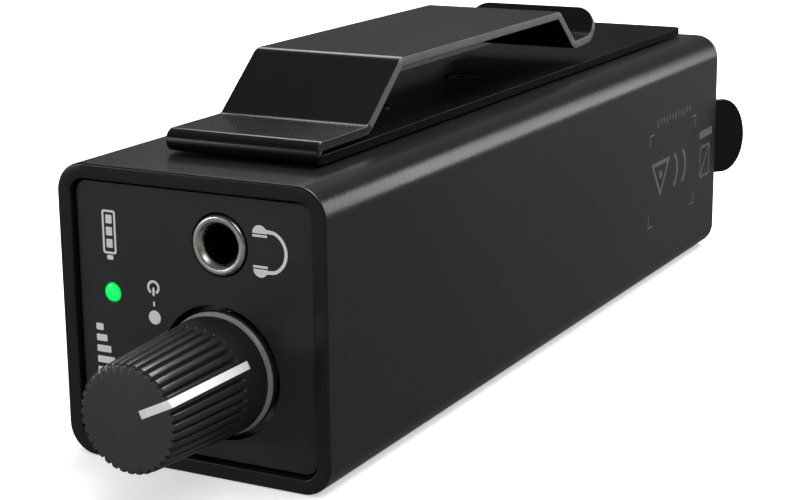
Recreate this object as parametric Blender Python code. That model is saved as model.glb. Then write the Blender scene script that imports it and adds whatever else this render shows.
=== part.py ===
"""Belt-pack headphone amplifier: a square tube with a fluted volume knob and a phones socket in
front, a locking combination socket at the rear, a spring-steel belt clip on top and a battery bay
in the left side.

Frame: X across the tube, Y along it (front panel faces -Y, rear socket faces +Y), Z up.
The origin is at the centre of the tube's underside. All lengths are in metres.
"""
import math

import bmesh
import bpy
from mathutils import Matrix, Vector

MM = 0.001
GAP = 0.3 * MM

# Tube
TUBE_WIDTH = 31.4 * MM
TUBE_HEIGHT = 31.0 * MM
TUBE_LENGTH = 113.0 * MM
TUBE_WALL = 1.6 * MM
TUBE_CORNER = 3.2 * MM
FRONT = -TUBE_LENGTH / 2
REAR = TUBE_LENGTH / 2
MID_Z = TUBE_HEIGHT / 2

# End panels
PANEL_WIDTH = TUBE_WIDTH - 2 * TUBE_WALL - 2 * GAP
PANEL_HEIGHT = TUBE_HEIGHT - 2 * TUBE_WALL - 2 * GAP
PANEL_RECESS = 0.65 * MM
PANEL_THICKNESS = 1.6 * MM
BRACKET_FRONT = FRONT + 4.6 * MM
BRACKET_THICKNESS = 1.0 * MM

# Volume knob and potentiometer
KNOB_X = 2.8 * MM
KNOB_Z = 10.95 * MM
KNOB_CAP_Y = FRONT - 15.06 * MM
KNOB_FLUTE_END_Y = FRONT - 3.6 * MM
KNOB_REAR_Y = FRONT - 0.25 * MM
KNOB_CAP_RADIUS = 5.4 * MM
KNOB_FLUTE_RADIUS = 5.98 * MM
KNOB_SKIRT_RADIUS = 6.14 * MM
KNOB_HOLE_RADIUS = 6.97 * MM
FLUTES = 36
FLUTE_DEPTH = 0.4 * MM
POINTER_ANGLE = math.radians(25.0)
POINTER_WIDTH = 0.82 * MM
POINTER_END_Y = FRONT - 2.5 * MM
SHAFT_RADIUS = 3.0 * MM
SPINDLE_RADIUS = 2.6 * MM
BUSHING_RADIUS = 3.5 * MM

# Phones socket and power light
JACK_X = 3.3 * MM
JACK_Z = 24.1 * MM
JACK_RECESS = 0.35 * MM
JACK_RADIUS = 3.05 * MM
JACK_BORE = 1.98 * MM
LED_X = -9.9 * MM
LED_Z = 17.7 * MM
LED_RADIUS = 1.0 * MM

# Rear combination socket and its latch
SHELL_RADIUS = 11.6 * MM
SHELL_BORE = 9.8 * MM
INSERT_RADIUS = 7.7 * MM
PLUG_BORE = 3.25 * MM
LATCH_X = 12.4 * MM
LATCH_Y = 50.0 * MM
LATCH_WIDTH = 10.8 * MM
LATCH_ARM = 1.0 * MM

# Battery bay in the -X side
BAY_FRONT = -32.0 * MM
BAY_REAR = 17.4 * MM
NICHE_REAR = 24.4 * MM
BAY_HEIGHT = 21.8 * MM
CELL_RADIUS = 5.2 * MM
CELL_LENGTH = 44.5 * MM
CELL_X = -8.5 * MM
CELL_SPACING = 10.9 * MM
DOOR_LENGTH = NICHE_REAR - BAY_FRONT
DOOR_Y = (BAY_FRONT + NICHE_REAR) / 2

# Belt clip, folded from one sheet
CLIP_LEFT = -7.3 * MM
CLIP_RIGHT = 10.6 * MM
CLIP_SHEET = 1.0 * MM
CLIP_BASE_Z = TUBE_HEIGHT + 0.2 * MM
CLIP_FOLD_Y = FRONT + 8.55 * MM
CLIP_FOLD_RADIUS = 1.2 * MM
CLIP_HINGE_Y = FRONT + 9.15 * MM
CLIP_HINGE_Z = CLIP_BASE_Z + 2 * CLIP_FOLD_RADIUS - CLIP_SHEET / 2
CLIP_SCREW_X = 1.65 * MM
CLIP_SCREW_YS = (-22.5 * MM, 1.5 * MM)

AXES = {
    "X": (Vector((0, 1, 0)), Vector((0, 0, 1)), Vector((1, 0, 0))),
    "Y": (Vector((1, 0, 0)), Vector((0, 0, 1)), Vector((0, 1, 0))),
    "Z": (Vector((1, 0, 0)), Vector((0, 1, 0)), Vector((0, 0, 1))),
}


# ---------------------------------------------------------------- modelling helpers

def clear_scene():
    for obj in list(bpy.data.objects):
        bpy.data.objects.remove(obj, do_unlink=True)


def make_material(name, colour, roughness, metallic=0.0, emission=0.0):
    material = bpy.data.materials.new(name)
    material.use_nodes = True
    shader = material.node_tree.nodes["Principled BSDF"]
    shader.inputs["Base Color"].default_value = (*colour, 1.0)
    shader.inputs["Roughness"].default_value = roughness
    shader.inputs["Metallic"].default_value = metallic
    if emission:
        shader.inputs["Emission Color"].default_value = (*colour, 1.0)
        shader.inputs["Emission Strength"].default_value = emission
    material.diffuse_color = (*colour, 1.0)
    return material


def make_object(name, bm, location, parent=None, material=None, smooth=0.0):
    """Links the mesh as an object at a world position, under its parent."""
    bmesh.ops.recalc_face_normals(bm, faces=bm.faces)
    mesh = bpy.data.meshes.new(name)
    bm.to_mesh(mesh)
    bm.free()
    if material:
        mesh.materials.append(material)
    if smooth:
        mesh.shade_smooth()
        mesh.set_sharp_from_angle(angle=math.radians(smooth))
    obj = bpy.data.objects.new(name, mesh)
    bpy.context.collection.objects.link(obj)
    place(obj, location, parent)
    return obj


def place(obj, location, parent):
    obj.parent = parent
    base = parent.location if parent else Vector((0, 0, 0))
    obj.location = Vector(location) - base


def make_pivot(name, location):
    """An empty on a joint's axis; the moving pieces hang from it."""
    pivot = bpy.data.objects.new(name, None)
    pivot.empty_display_size = 4 * MM
    bpy.context.collection.objects.link(pivot)
    pivot.location = location
    return pivot


def boolean(target, name, bm, location, operation="DIFFERENCE"):
    """Cuts a shape from the target, or joins it on, with a Boolean modifier."""
    tool = make_object(name, bm, location, target.parent)
    tool.hide_render = True
    tool.display_type = "WIRE"
    modifier = target.modifiers.new(name, "BOOLEAN")
    modifier.operation = operation
    modifier.solver = "EXACT"
    modifier.object = tool
    return tool


def extrude(bm, faces, vector):
    result = bmesh.ops.extrude_face_region(bm, geom=faces, use_keep_orig=True)
    moved = [item for item in result["geom"] if isinstance(item, bmesh.types.BMVert)]
    bmesh.ops.translate(bm, verts=moved, vec=vector)


def prism(outline, axis, low, high):
    """Extrudes a flat outline of (a, b) points along an axis, from low to high."""
    across, up, along = AXES[axis]
    bm = bmesh.new()
    verts = [bm.verts.new(across * a + up * b + along * low) for a, b in outline]
    face = bm.faces.new(verts)
    extrude(bm, [face], along * (high - low))
    return bm


def tube(outer, inner, axis, low, high):
    """Extrudes the band between two outlines with the same number of points."""
    across, up, along = AXES[axis]
    bm = bmesh.new()
    loops = []
    for outline in (outer, inner):
        verts = [bm.verts.new(across * a + up * b + along * low) for a, b in outline]
        edges = [bm.edges.new((verts[i - 1], verts[i])) for i in range(len(verts))]
        loops.extend(edges)
    band = bmesh.ops.bridge_loops(bm, edges=loops)["faces"]
    extrude(bm, band, along * (high - low))
    return bm


def box(x_range, y_range, z_range):
    """A box between the given limits, about the object's own origin."""
    outline = [(x_range[0], y_range[0]), (x_range[1], y_range[0]),
               (x_range[1], y_range[1]), (x_range[0], y_range[1])]
    return prism(outline, "Z", z_range[0], z_range[1])


def turned(profile, segments, axis="Y"):
    """Revolves (radius, distance along the axis) points. Profiles that start and end on the
    axis give a solid, any other is closed into a ring."""
    bm = bmesh.new()
    verts = [bm.verts.new((radius, along, 0)) for radius, along in profile]
    edges = [bm.edges.new(pair) for pair in zip(verts, verts[1:])]
    if profile[0][0] > 0:
        edges.append(bm.edges.new((verts[-1], verts[0])))
    bmesh.ops.spin(bm, geom=verts + edges, cent=(0, 0, 0), axis=(0, 1, 0),
                   angle=2 * math.pi, steps=segments)
    bmesh.ops.remove_doubles(bm, verts=bm.verts, dist=1e-6)
    if axis == "X":
        bmesh.ops.rotate(bm, verts=bm.verts, matrix=Matrix.Rotation(-math.pi / 2, 3, "Z"))
    if axis == "Z":
        bmesh.ops.rotate(bm, verts=bm.verts, matrix=Matrix.Rotation(math.pi / 2, 3, "X"))
    return bm


def rod(radius, low, high, segments=32, axis="Y"):
    return turned([(0, low), (radius, low), (radius, high), (0, high)], segments, axis)


def ring(outer, inner, low, high, segments=32, axis="Y"):
    profile = [(inner, low), (outer, low), (outer, high), (inner, high)]
    return turned(profile, segments, axis)


def rounded_rect(width, height, radius, steps=5):
    points = []
    for quarter, (sx, sz) in enumerate(((1, 1), (-1, 1), (-1, -1), (1, -1))):
        for step in range(steps + 1):
            angle = math.pi / 2 * (quarter + step / steps)
            points.append((sx * (width / 2 - radius) + radius * math.cos(angle),
                           sz * (height / 2 - radius) + radius * math.sin(angle)))
    return points


def arc(centre, radius, start, end, steps):
    points = []
    for step in range(steps + 1):
        angle = math.radians(start + (end - start) * step / steps)
        points.append((centre[0] + radius * math.cos(angle),
                       centre[1] + radius * math.sin(angle)))
    return points


def circle_outline(radius, steps):
    return arc((0, 0), radius, 0, 360, steps)[:steps]


def hexagon_outline(across_flats, steps):
    """A hexagon with its corners and flats at equal angular steps (a multiple of 12)."""
    sector = math.pi / 3
    points = []
    for index in range(steps):
        angle = 2 * math.pi * index / steps
        reach = across_flats / 2 / math.cos((angle + sector / 2) % sector - sector / 2)
        points.append((reach * math.cos(angle), reach * math.sin(angle)))
    return points


def strip_outline(path, thickness):
    """The closed outline of a bent strip, mitred at each bend of its centre line."""
    points = [Vector(point) for point in path]
    runs = [(b - a).normalized() for a, b in zip(points, points[1:])]
    left, right = [], []
    for index, point in enumerate(points):
        before = runs[max(index - 1, 0)]
        after = runs[min(index, len(runs) - 1)]
        bisector = Vector((-(before + after).y, (before + after).x)).normalized()
        normal = Vector((-before.y, before.x))
        offset = bisector * (thickness / 2 / bisector.dot(normal))
        left.append(tuple(point + offset))
        right.append(tuple(point - offset))
    return left + right[::-1]


# ---------------------------------------------------------------- tube and end panels

def build_housing():
    """The square extruded tube, with the battery window and the clip's two screw holes."""
    outer = rounded_rect(TUBE_WIDTH, TUBE_HEIGHT, TUBE_CORNER)
    inner = rounded_rect(TUBE_WIDTH - 2 * TUBE_WALL, TUBE_HEIGHT - 2 * TUBE_WALL,
                         TUBE_CORNER - TUBE_WALL)
    material = make_material("housing_paint", (0.022, 0.022, 0.024), 0.42)
    housing = make_object("housing", tube(outer, inner, "Y", FRONT, REAR), (0, 0, MID_Z),
                          material=material, smooth=30)
    window = rounded_rect(DOOR_LENGTH, BAY_HEIGHT, 1.5 * MM, 3)
    boolean(housing, "cut_battery_window", prism(window, "X", -2 * MM, 2 * MM),
            (-TUBE_WIDTH / 2 + TUBE_WALL / 2, DOOR_Y, MID_Z))
    for index, y in enumerate(CLIP_SCREW_YS):
        boolean(housing, f"cut_housing_screw_{index + 1}",
                rod(1.3 * MM, -2 * MM, 2 * MM, 20, "Z"), (CLIP_SCREW_X, y, TUBE_HEIGHT))


def build_front_panel():
    outline = rounded_rect(PANEL_WIDTH, PANEL_HEIGHT, 1.3 * MM, 4)
    y = FRONT + PANEL_RECESS
    material = make_material("front_panel_black", (0.016, 0.016, 0.017), 0.5)
    panel = make_object("front_panel", prism(outline, "Y", 0, PANEL_THICKNESS),
                        (0, y, MID_Z), material=material)
    holes = (("knob", KNOB_X, KNOB_Z, KNOB_HOLE_RADIUS), ("jack", JACK_X, JACK_Z, JACK_RADIUS + GAP),
             ("led", LED_X, LED_Z, LED_RADIUS + GAP))
    for name, x, z, radius in holes:
        boolean(panel, f"cut_panel_{name}", rod(radius, -2 * MM, 4 * MM, 48), (x, y, z))


def build_front_bracket():
    """The steel plate behind the panel that the potentiometer and the socket are fastened to."""
    outline = rounded_rect(PANEL_WIDTH, PANEL_HEIGHT, 1.3 * MM, 3)
    material = make_material("bracket_steel", (0.25, 0.25, 0.26), 0.4, 1.0)
    bracket = make_object("front_bracket", prism(outline, "Y", 0, BRACKET_THICKNESS),
                          (0, BRACKET_FRONT, MID_Z), material=material)
    holes = (("pot", KNOB_X, KNOB_Z, BUSHING_RADIUS + GAP),
             ("jack", JACK_X, JACK_Z, JACK_RADIUS + GAP), ("led", LED_X, LED_Z, LED_RADIUS + GAP))
    for name, x, z, radius in holes:
        boolean(bracket, f"cut_bracket_{name}", rod(radius, -2 * MM, 3 * MM, 32),
                (x, BRACKET_FRONT, z))


def build_rear_panel():
    """The rear plate, open at +X where the latch tab comes out."""
    outline = rounded_rect(PANEL_WIDTH, PANEL_HEIGHT, 1.3 * MM, 4)
    y = REAR - PANEL_RECESS
    material = make_material("rear_panel_black", (0.018, 0.018, 0.019), 0.5)
    panel = make_object("rear_panel", prism(outline, "Y", -PANEL_THICKNESS, 0), (0, y, MID_Z),
                        material=material)
    boolean(panel, "cut_rear_socket", rod(SHELL_RADIUS + GAP, -4 * MM, 3 * MM, 56), (0, y, MID_Z))
    boolean(panel, "cut_rear_latch",
            box((10.3 * MM, 15 * MM), (-4 * MM, 3 * MM), (-6.1 * MM, 6.1 * MM)), (0, y, MID_Z))


# ---------------------------------------------------------------- volume control

def knob_section(radius, groove, y):
    """One ring of the knob's outside: ribs with a groove of the given depth between them."""
    points = []
    pitch = 2 * math.pi / FLUTES
    for index in range(FLUTES):
        centre = POINTER_ANGLE + index * pitch
        for offset, depth in ((-0.23, 0.0), (-0.10, groove), (0.10, groove), (0.23, 0.0)):
            angle = centre + offset * pitch
            points.append(Vector(((radius - depth) * math.cos(angle), y,
                                  (radius - depth) * math.sin(angle))))
    return points


def knob_body():
    rings = [
        knob_section(KNOB_CAP_RADIUS - 0.2 * MM, 0.15 * MM, KNOB_CAP_Y),
        knob_section(KNOB_CAP_RADIUS, FLUTE_DEPTH, KNOB_CAP_Y + 0.2 * MM),
        knob_section(KNOB_FLUTE_RADIUS, FLUTE_DEPTH, KNOB_FLUTE_END_Y - 0.4 * MM),
        knob_section(KNOB_FLUTE_RADIUS + 0.02 * MM, 0.0, KNOB_FLUTE_END_Y),
        knob_section(KNOB_SKIRT_RADIUS, 0.0, KNOB_REAR_Y),
    ]
    bm = bmesh.new()
    loops = [[bm.verts.new(point - Vector((0, FRONT, 0))) for point in section]
             for section in rings]
    bm.faces.new(loops[0])
    bm.faces.new(loops[-1])
    for front, back in zip(loops, loops[1:]):
        for index in range(len(front)):
            bm.faces.new((front[index - 1], front[index], back[index], back[index - 1]))
    return bm


def pointer_outline(grow):
    """Side view (distance from the axis, y) of the white line: along the cap, down the flank."""
    top = KNOB_CAP_Y - FRONT
    end = POINTER_END_Y - FRONT + grow
    depth = 0.6 * MM + grow
    start = 1.8 * MM - grow
    slope = (KNOB_FLUTE_RADIUS - KNOB_CAP_RADIUS) / (KNOB_FLUTE_END_Y - KNOB_CAP_Y)
    foot = KNOB_CAP_RADIUS + slope * (end - top)
    lift = 3 * grow
    return [(start, top - lift), (KNOB_CAP_RADIUS - 0.1 * MM + lift, top - lift),
            (KNOB_CAP_RADIUS + lift, top + 0.1 * MM), (foot + lift, end), (foot - depth, end),
            (KNOB_CAP_RADIUS - depth, top + depth), (start, top + depth)]


def pointer_solid(grow):
    bm = prism(pointer_outline(grow), "Z", -POINTER_WIDTH / 2 - grow, POINTER_WIDTH / 2 + grow)
    bmesh.ops.rotate(bm, verts=bm.verts, matrix=Matrix.Rotation(-POINTER_ANGLE, 3, "Y"))
    return bm


def build_knob(pivot):
    centre = (KNOB_X, FRONT, KNOB_Z)
    material = make_material("knob_plastic", (0.03, 0.03, 0.032), 0.45)
    knob = make_object("knob", knob_body(), centre, pivot, material, 25)
    shaft_hole = rod(SHAFT_RADIUS + GAP, -11.8 * MM, 2 * MM, 32)
    boolean(knob, "cut_knob_bore", shaft_hole, centre)
    boolean(knob, "cut_knob_pointer", pointer_solid(GAP), centre)

    white = make_material("pointer_white", (0.85, 0.85, 0.83), 0.4)
    make_object("knob_pointer", pointer_solid(0.0), centre, pivot, white)

    gloss = make_material("knob_ring_gloss", (0.06, 0.06, 0.06), 0.2)
    profile = [(5.1 * MM, 0.05 * MM), (6.03 * MM, 0.05 * MM), (6.36 * MM, 0.45 * MM),
               (6.36 * MM, 1.1 * MM), (5.1 * MM, 1.1 * MM)]
    make_object("knob_ring", turned(profile, 40), centre, pivot, gloss, 30)


def build_pot_shaft(pivot):
    """The turned shaft in the knob, stepped down to the spindle that runs in the bushing."""
    profile = [(0, -11.4 * MM), (SHAFT_RADIUS - 0.4 * MM, -11.4 * MM), (SHAFT_RADIUS, -11.0 * MM),
               (SHAFT_RADIUS, 0.6 * MM), (SPINDLE_RADIUS, 0.6 * MM), (SPINDLE_RADIUS, 14.6 * MM),
               (0, 14.6 * MM)]
    material = make_material("shaft_aluminium", (0.7, 0.7, 0.72), 0.35, 1.0)
    make_object("pot_shaft", turned(profile, 32), (KNOB_X, FRONT, KNOB_Z), pivot, material, 30)


def build_switch_cam(pivot):
    """Lobed disc on the spindle that throws the power switch at the OFF end of its travel."""
    steps = 36
    outline = []
    for index in range(steps):
        angle = 2 * math.pi * index / steps
        lobe = max(0.0, math.sin(angle)) ** 8
        radius = 4.0 * MM + 0.8 * MM * lobe
        outline.append((radius * math.cos(angle), radius * math.sin(angle)))
    bore = circle_outline(SPINDLE_RADIUS + GAP, steps)
    material = make_material("cam_nylon", (0.75, 0.73, 0.66), 0.5)
    make_object("switch_cam", tube(outline, bore, "Y", 13.3 * MM, 14.3 * MM),
                (KNOB_X, FRONT, KNOB_Z), pivot, material)


def build_pot_fixed():
    """Nut, washer, threaded bushing, resistor case and power switch of the potentiometer."""
    centre = (KNOB_X, FRONT, KNOB_Z)
    hexagon = hexagon_outline(10 * MM, 24)
    bore = circle_outline(BUSHING_RADIUS + GAP, 24)
    nickel = make_material("nut_nickel", (0.55, 0.54, 0.52), 0.3, 1.0)
    make_object("pot_nut", tube(hexagon, bore, "Y", 1.7 * MM, 3.5 * MM), centre, None, nickel)
    washer = make_material("washer_steel", (0.5, 0.5, 0.5), 0.35, 1.0)
    make_object("pot_washer", ring(5.6 * MM, BUSHING_RADIUS + GAP, 3.8 * MM, 4.3 * MM), centre,
                None, washer, 30)
    brass = make_material("bushing_brass", (0.62, 0.5, 0.28), 0.35, 1.0)
    make_object("pot_bushing", ring(BUSHING_RADIUS, SPINDLE_RADIUS + GAP, 1.1 * MM, 6.2 * MM),
                centre, None, brass, 30)
    case = make_material("pot_case_steel", (0.45, 0.45, 0.46), 0.4, 1.0)
    body = make_object("pot_body",
                       box((-5.7 * MM, 4.9 * MM), (6.5 * MM, 13.0 * MM), (-4.9 * MM, 4.9 * MM)),
                       centre, None, case)
    boolean(body, "cut_pot_bore", rod(SPINDLE_RADIUS + GAP, 5 * MM, 14 * MM, 32), centre)
    black = make_material("pot_switch_plastic", (0.03, 0.03, 0.03), 0.5)
    make_object("pot_switch",
                box((-5.7 * MM, 4.9 * MM), (14.9 * MM, 19.0 * MM), (-4.9 * MM, 4.9 * MM)),
                centre, None, black)


# ---------------------------------------------------------------- phones socket and light

def build_phones_socket():
    """Nickelled nose, moulded body and three contact springs of the 3.5 mm phones socket."""
    centre = (JACK_X, FRONT, JACK_Z)
    profile = [(2.4 * MM, JACK_RECESS), (JACK_RADIUS - 0.25 * MM, JACK_RECESS),
               (JACK_RADIUS, JACK_RECESS + 0.25 * MM), (JACK_RADIUS, 6.0 * MM),
               (JACK_BORE, 6.0 * MM), (JACK_BORE, JACK_RECESS + 0.6 * MM)]
    nickel = make_material("jack_nickel", (0.6, 0.58, 0.55), 0.22, 1.0)
    make_object("jack_nose", turned(profile, 40), centre, None, nickel, 30)
    plastic = make_material("jack_plastic", (0.02, 0.02, 0.02), 0.5)
    body = make_object("jack_body",
                       box((-6.2 * MM, 3.8 * MM), (6.3 * MM, 19.9 * MM), (-3.7 * MM, 3.7 * MM)),
                       centre, None, plastic)
    boolean(body, "cut_jack_bore", rod(JACK_BORE, 5 * MM, 18.4 * MM, 32), centre)
    for name, y in (("sleeve", 7.4 * MM), ("ring", 12.0 * MM), ("tip", 16.6 * MM)):
        tin = make_material(f"jack_contact_{name}_tin", (0.7, 0.7, 0.68), 0.3, 1.0)
        path = [(4.25 * MM, 2.6 * MM), (4.25 * MM, -4.2 * MM), (-6.0 * MM, -4.2 * MM)]
        make_object(f"jack_contact_{name}",
                    prism(strip_outline(path, 0.3 * MM), "Y", y, y + 2 * MM), centre, None, tin)


def build_power_light():
    """Green light pipe in the panel, the lamp behind it and the holder on the front board."""
    centre = (LED_X, FRONT, LED_Z)
    green = make_material("led_lens_green", (0.0, 0.85, 0.3), 0.25, emission=2.0)
    make_object("led_lens", rod(LED_RADIUS, 0.63 * MM, 5.9 * MM, 24), centre, None, green, 30)
    dome = [(0, 6.2 * MM)]
    dome += [(1.5 * MM * math.sin(math.radians(a)), 7.7 * MM - 1.5 * MM * math.cos(math.radians(a)))
             for a in (30, 60, 90)]
    dome += [(1.5 * MM, 10.2 * MM), (1.85 * MM, 10.2 * MM), (1.85 * MM, 11.0 * MM), (0, 11.0 * MM)]
    epoxy = make_material("led_epoxy", (0.35, 0.75, 0.45), 0.2)
    make_object("led_body", turned(dome, 24), centre, None, epoxy, 40)
    plastic = make_material("led_holder_black", (0.02, 0.02, 0.02), 0.55)
    holder = make_object("led_holder",
                         box((-2.6 * MM, 4.8 * MM), (6.1 * MM, 12.0 * MM), (-2.9 * MM, 2.9 * MM)),
                         centre, None, plastic)
    boolean(holder, "cut_led_seat", rod(2.15 * MM, 5 * MM, 13 * MM, 24), centre)


# ---------------------------------------------------------------- circuit boards

def build_boards():
    board = make_material("front_board_fr4", (0.01, 0.09, 0.05), 0.45)
    make_object("front_board", box((-4.8 * MM, -3.2 * MM), (-50.6 * MM, -33.4 * MM),
                                   (2.1 * MM, 28.9 * MM)), (0, 0, 0), None, board)
    board = make_material("main_board_fr4", (0.01, 0.09, 0.05), 0.45)
    make_object("main_board", box((-1.2 * MM, 0.4 * MM), (-36.0 * MM, 18.0 * MM),
                                  (2.1 * MM, 26.8 * MM)), (0, 0, 0), None, board)
    link = make_material("board_link_plastic", (0.02, 0.02, 0.02), 0.5)
    make_object("board_link", box((-2.9 * MM, -1.5 * MM), (-35.9 * MM, -33.5 * MM),
                                  (6 * MM, 25 * MM)), (0, 0, 0), None, link)


def build_board_components():
    """Amplifier and regulator chips, three electrolytic capacitors and a choke."""
    face = 0.7 * MM
    chips = (("amp_chip", -10 * MM, 13.5 * MM, 5.0 * MM, 6.2 * MM),
             ("regulator_chip", -21 * MM, 8 * MM, 4.0 * MM, 5.0 * MM))
    for name, y, z, wide, high in chips:
        epoxy = make_material(f"{name}_epoxy", (0.025, 0.025, 0.027), 0.5)
        make_object(name, box((0, 1.6 * MM), (-wide / 2, wide / 2), (-high / 2, high / 2)),
                    (face, y, z), None, epoxy)
    capacitors = (("capacitor_1", -28 * MM, 20 * MM), ("capacitor_2", -19 * MM, 21 * MM),
                  ("capacitor_3", 6 * MM, 19 * MM))
    for name, y, z in capacitors:
        sleeve = make_material(f"{name}_sleeve", (0.05, 0.06, 0.12), 0.4)
        profile = [(0, 0), (3.15 * MM, 0), (3.15 * MM, 1.0 * MM), (2.9 * MM, 1.4 * MM),
                   (3.15 * MM, 1.8 * MM), (3.15 * MM, 6.7 * MM), (2.8 * MM, 7.0 * MM),
                   (0, 7.0 * MM)]
        make_object(name, turned(profile, 24, "X"), (face, y, z), None, sleeve, 30)
    ferrite = make_material("choke_ferrite", (0.06, 0.055, 0.05), 0.6)
    profile = [(0, 0), (3.5 * MM, 0), (3.5 * MM, 0.8 * MM), (2.6 * MM, 0.8 * MM),
               (2.6 * MM, 3.6 * MM), (3.5 * MM, 3.6 * MM), (3.5 * MM, 4.4 * MM), (0, 4.4 * MM)]
    make_object("choke", turned(profile, 24, "X"), (face, 6 * MM, 8 * MM), None, ferrite, 30)


# ---------------------------------------------------------------- battery bay

def build_battery_tray():
    """Moulded tray behind the window: the cell bay, and a shallow niche for the mode switch."""
    low, high = -13.8 * MM, -1.9 * MM
    niche_floor = -7.0 * MM
    wall = 1.0 * MM
    outline = [(low, BAY_FRONT - wall), (high, BAY_FRONT - wall), (high, BAY_REAR + wall),
               (niche_floor, BAY_REAR + wall), (niche_floor, NICHE_REAR + wall),
               (low, NICHE_REAR + wall)]
    half = BAY_HEIGHT / 2
    plastic = make_material("tray_plastic", (0.025, 0.025, 0.025), 0.55)
    tray = make_object("battery_tray", prism(outline, "Z", -half - wall, half + wall),
                       (0, 0, MID_Z), None, plastic)
    boolean(tray, "cut_cell_bay",
            box((low - 2 * MM, high - wall), (BAY_FRONT, BAY_REAR), (-half, half)), (0, 0, MID_Z))
    boolean(tray, "cut_switch_niche",
            box((low - 2 * MM, niche_floor - wall), (BAY_REAR + wall, NICHE_REAR),
                (-6.5 * MM, 6.5 * MM)), (0, 0, MID_Z))


def cell_profile():
    """A dry cell, its positive button at the far end."""
    body = CELL_LENGTH - 1.0 * MM
    return [(0, 0), (4.0 * MM, 0), (4.0 * MM, 0.2 * MM), (CELL_RADIUS - 0.3 * MM, 0.2 * MM),
            (CELL_RADIUS, 0.5 * MM), (CELL_RADIUS, body - 0.4 * MM),
            (CELL_RADIUS - 0.4 * MM, body), (1.9 * MM, body), (1.9 * MM, CELL_LENGTH - 0.1 * MM),
            (1.8 * MM, CELL_LENGTH), (0, CELL_LENGTH)]


def build_cells():
    """Two cells side by side, facing opposite ways."""
    plate = 0.7 * MM
    upper = make_material("battery_1_wrap", (0.08, 0.08, 0.085), 0.35, 0.3)
    make_object("battery_1", turned(cell_profile(), 24),
                (CELL_X, BAY_REAR - plate - GAP - CELL_LENGTH, MID_Z + CELL_SPACING / 2), None,
                upper, 30)
    lower = make_material("battery_2_wrap", (0.08, 0.08, 0.085), 0.35, 0.3)
    bm = turned(cell_profile(), 24)
    bmesh.ops.rotate(bm, verts=bm.verts, matrix=Matrix.Rotation(math.pi, 3, "Z"))
    make_object("battery_2", bm,
                (CELL_X, BAY_FRONT + plate + GAP + CELL_LENGTH, MID_Z - CELL_SPACING / 2), None,
                lower, 30)


def build_contact_plates():
    """Nickelled plates at the bay's ends; the front one bridges the two cells."""
    plates = (("contact_bridge", BAY_FRONT + GAP, -10.2 * MM, 10.2 * MM),
              ("contact_plate_positive", BAY_REAR - 0.7 * MM, 0.9 * MM, 10.2 * MM),
              ("contact_plate_negative", BAY_REAR - 0.7 * MM, -10.2 * MM, -0.9 * MM))
    for name, y, low, high in plates:
        nickel = make_material(f"{name}_nickel", (0.6, 0.58, 0.52), 0.3, 1.0)
        make_object(name, box((-4.6 * MM, 4.6 * MM), (0, 0.4 * MM), (low, high)),
                    (CELL_X, y, MID_Z), None, nickel)


def build_contact_spring(name, location, direction):
    """A short conical coil from the contact plate to the flat end of a cell."""
    wire = 0.25 * MM
    turns, per_turn = 3, 12
    height = 2.1 * MM
    curve = bpy.data.curves.new(name, "CURVE")
    curve.dimensions = "3D"
    curve.bevel_depth = wire
    curve.bevel_resolution = 1
    curve.use_fill_caps = True
    spline = curve.splines.new("POLY")
    count = turns * per_turn + 1
    spline.points.add(count - 1)
    for index in range(count):
        part = index / (count - 1)
        angle = 2 * math.pi * index / per_turn
        radius = 3.4 * MM - 1.9 * MM * part
        spline.points[index].co = (radius * math.cos(angle), direction * (wire + height * part),
                                   radius * math.sin(angle), 1.0)
    curve.materials.append(make_material(f"{name}_wire", (0.6, 0.58, 0.52), 0.3, 1.0))
    spring = bpy.data.objects.new(name, curve)
    bpy.context.collection.objects.link(spring)
    place(spring, location, None)


def build_battery_door(pivot):
    """The lift-off cover: a plate in the window, a rib between the cells and finger grooves."""
    outline = rounded_rect(DOOR_LENGTH - 2 * GAP, BAY_HEIGHT - 2 * GAP, 1.2 * MM, 3)
    outer = -TUBE_WIDTH / 2
    centre = (outer, DOOR_Y, MID_Z)
    plastic = make_material("door_plastic", (0.022, 0.022, 0.024), 0.45)
    door = make_object("battery_door", prism(outline, "X", 0, 1.3 * MM), centre, pivot, plastic)
    boolean(door, "add_door_rib",
            box((1.0 * MM, 3.0 * MM), (-24 * MM, 18 * MM), (-1.1 * MM, 1.1 * MM)), centre, "UNION")
    for index in range(5):
        y = DOOR_LENGTH / 2 - (3.5 + 1.6 * index) * MM
        boolean(door, f"cut_door_groove_{index + 1}",
                box((-1 * MM, 0.45 * MM), (y - 0.35 * MM, y + 0.35 * MM), (-5 * MM, 5 * MM)),
                centre)


def build_mode_switch(pivot):
    """Stereo or mono slide switch in the niche: a fixed body and the sliding lever."""
    centre = (0, 21.4 * MM, MID_Z)
    black = make_material("mode_switch_black", (0.02, 0.02, 0.02), 0.5)
    body = make_object("mode_switch_body",
                       box((-11.7 * MM, -8.3 * MM), (-2.6 * MM, 2.6 * MM), (-4.5 * MM, 4.5 * MM)),
                       centre, None, black)
    boolean(body, "cut_switch_slot",
            box((-13 * MM, -10.2 * MM), (-1.0 * MM, 1.0 * MM), (-2.5 * MM, 2.5 * MM)), centre)
    white = make_material("mode_lever_white", (0.75, 0.75, 0.73), 0.45)
    make_object("mode_switch_lever",
                box((-2.9 * MM, 0), (-0.7 * MM, 0.7 * MM), (-1.2 * MM, 1.2 * MM)),
                pivot.location, pivot, white)


# ---------------------------------------------------------------- rear socket

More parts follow.
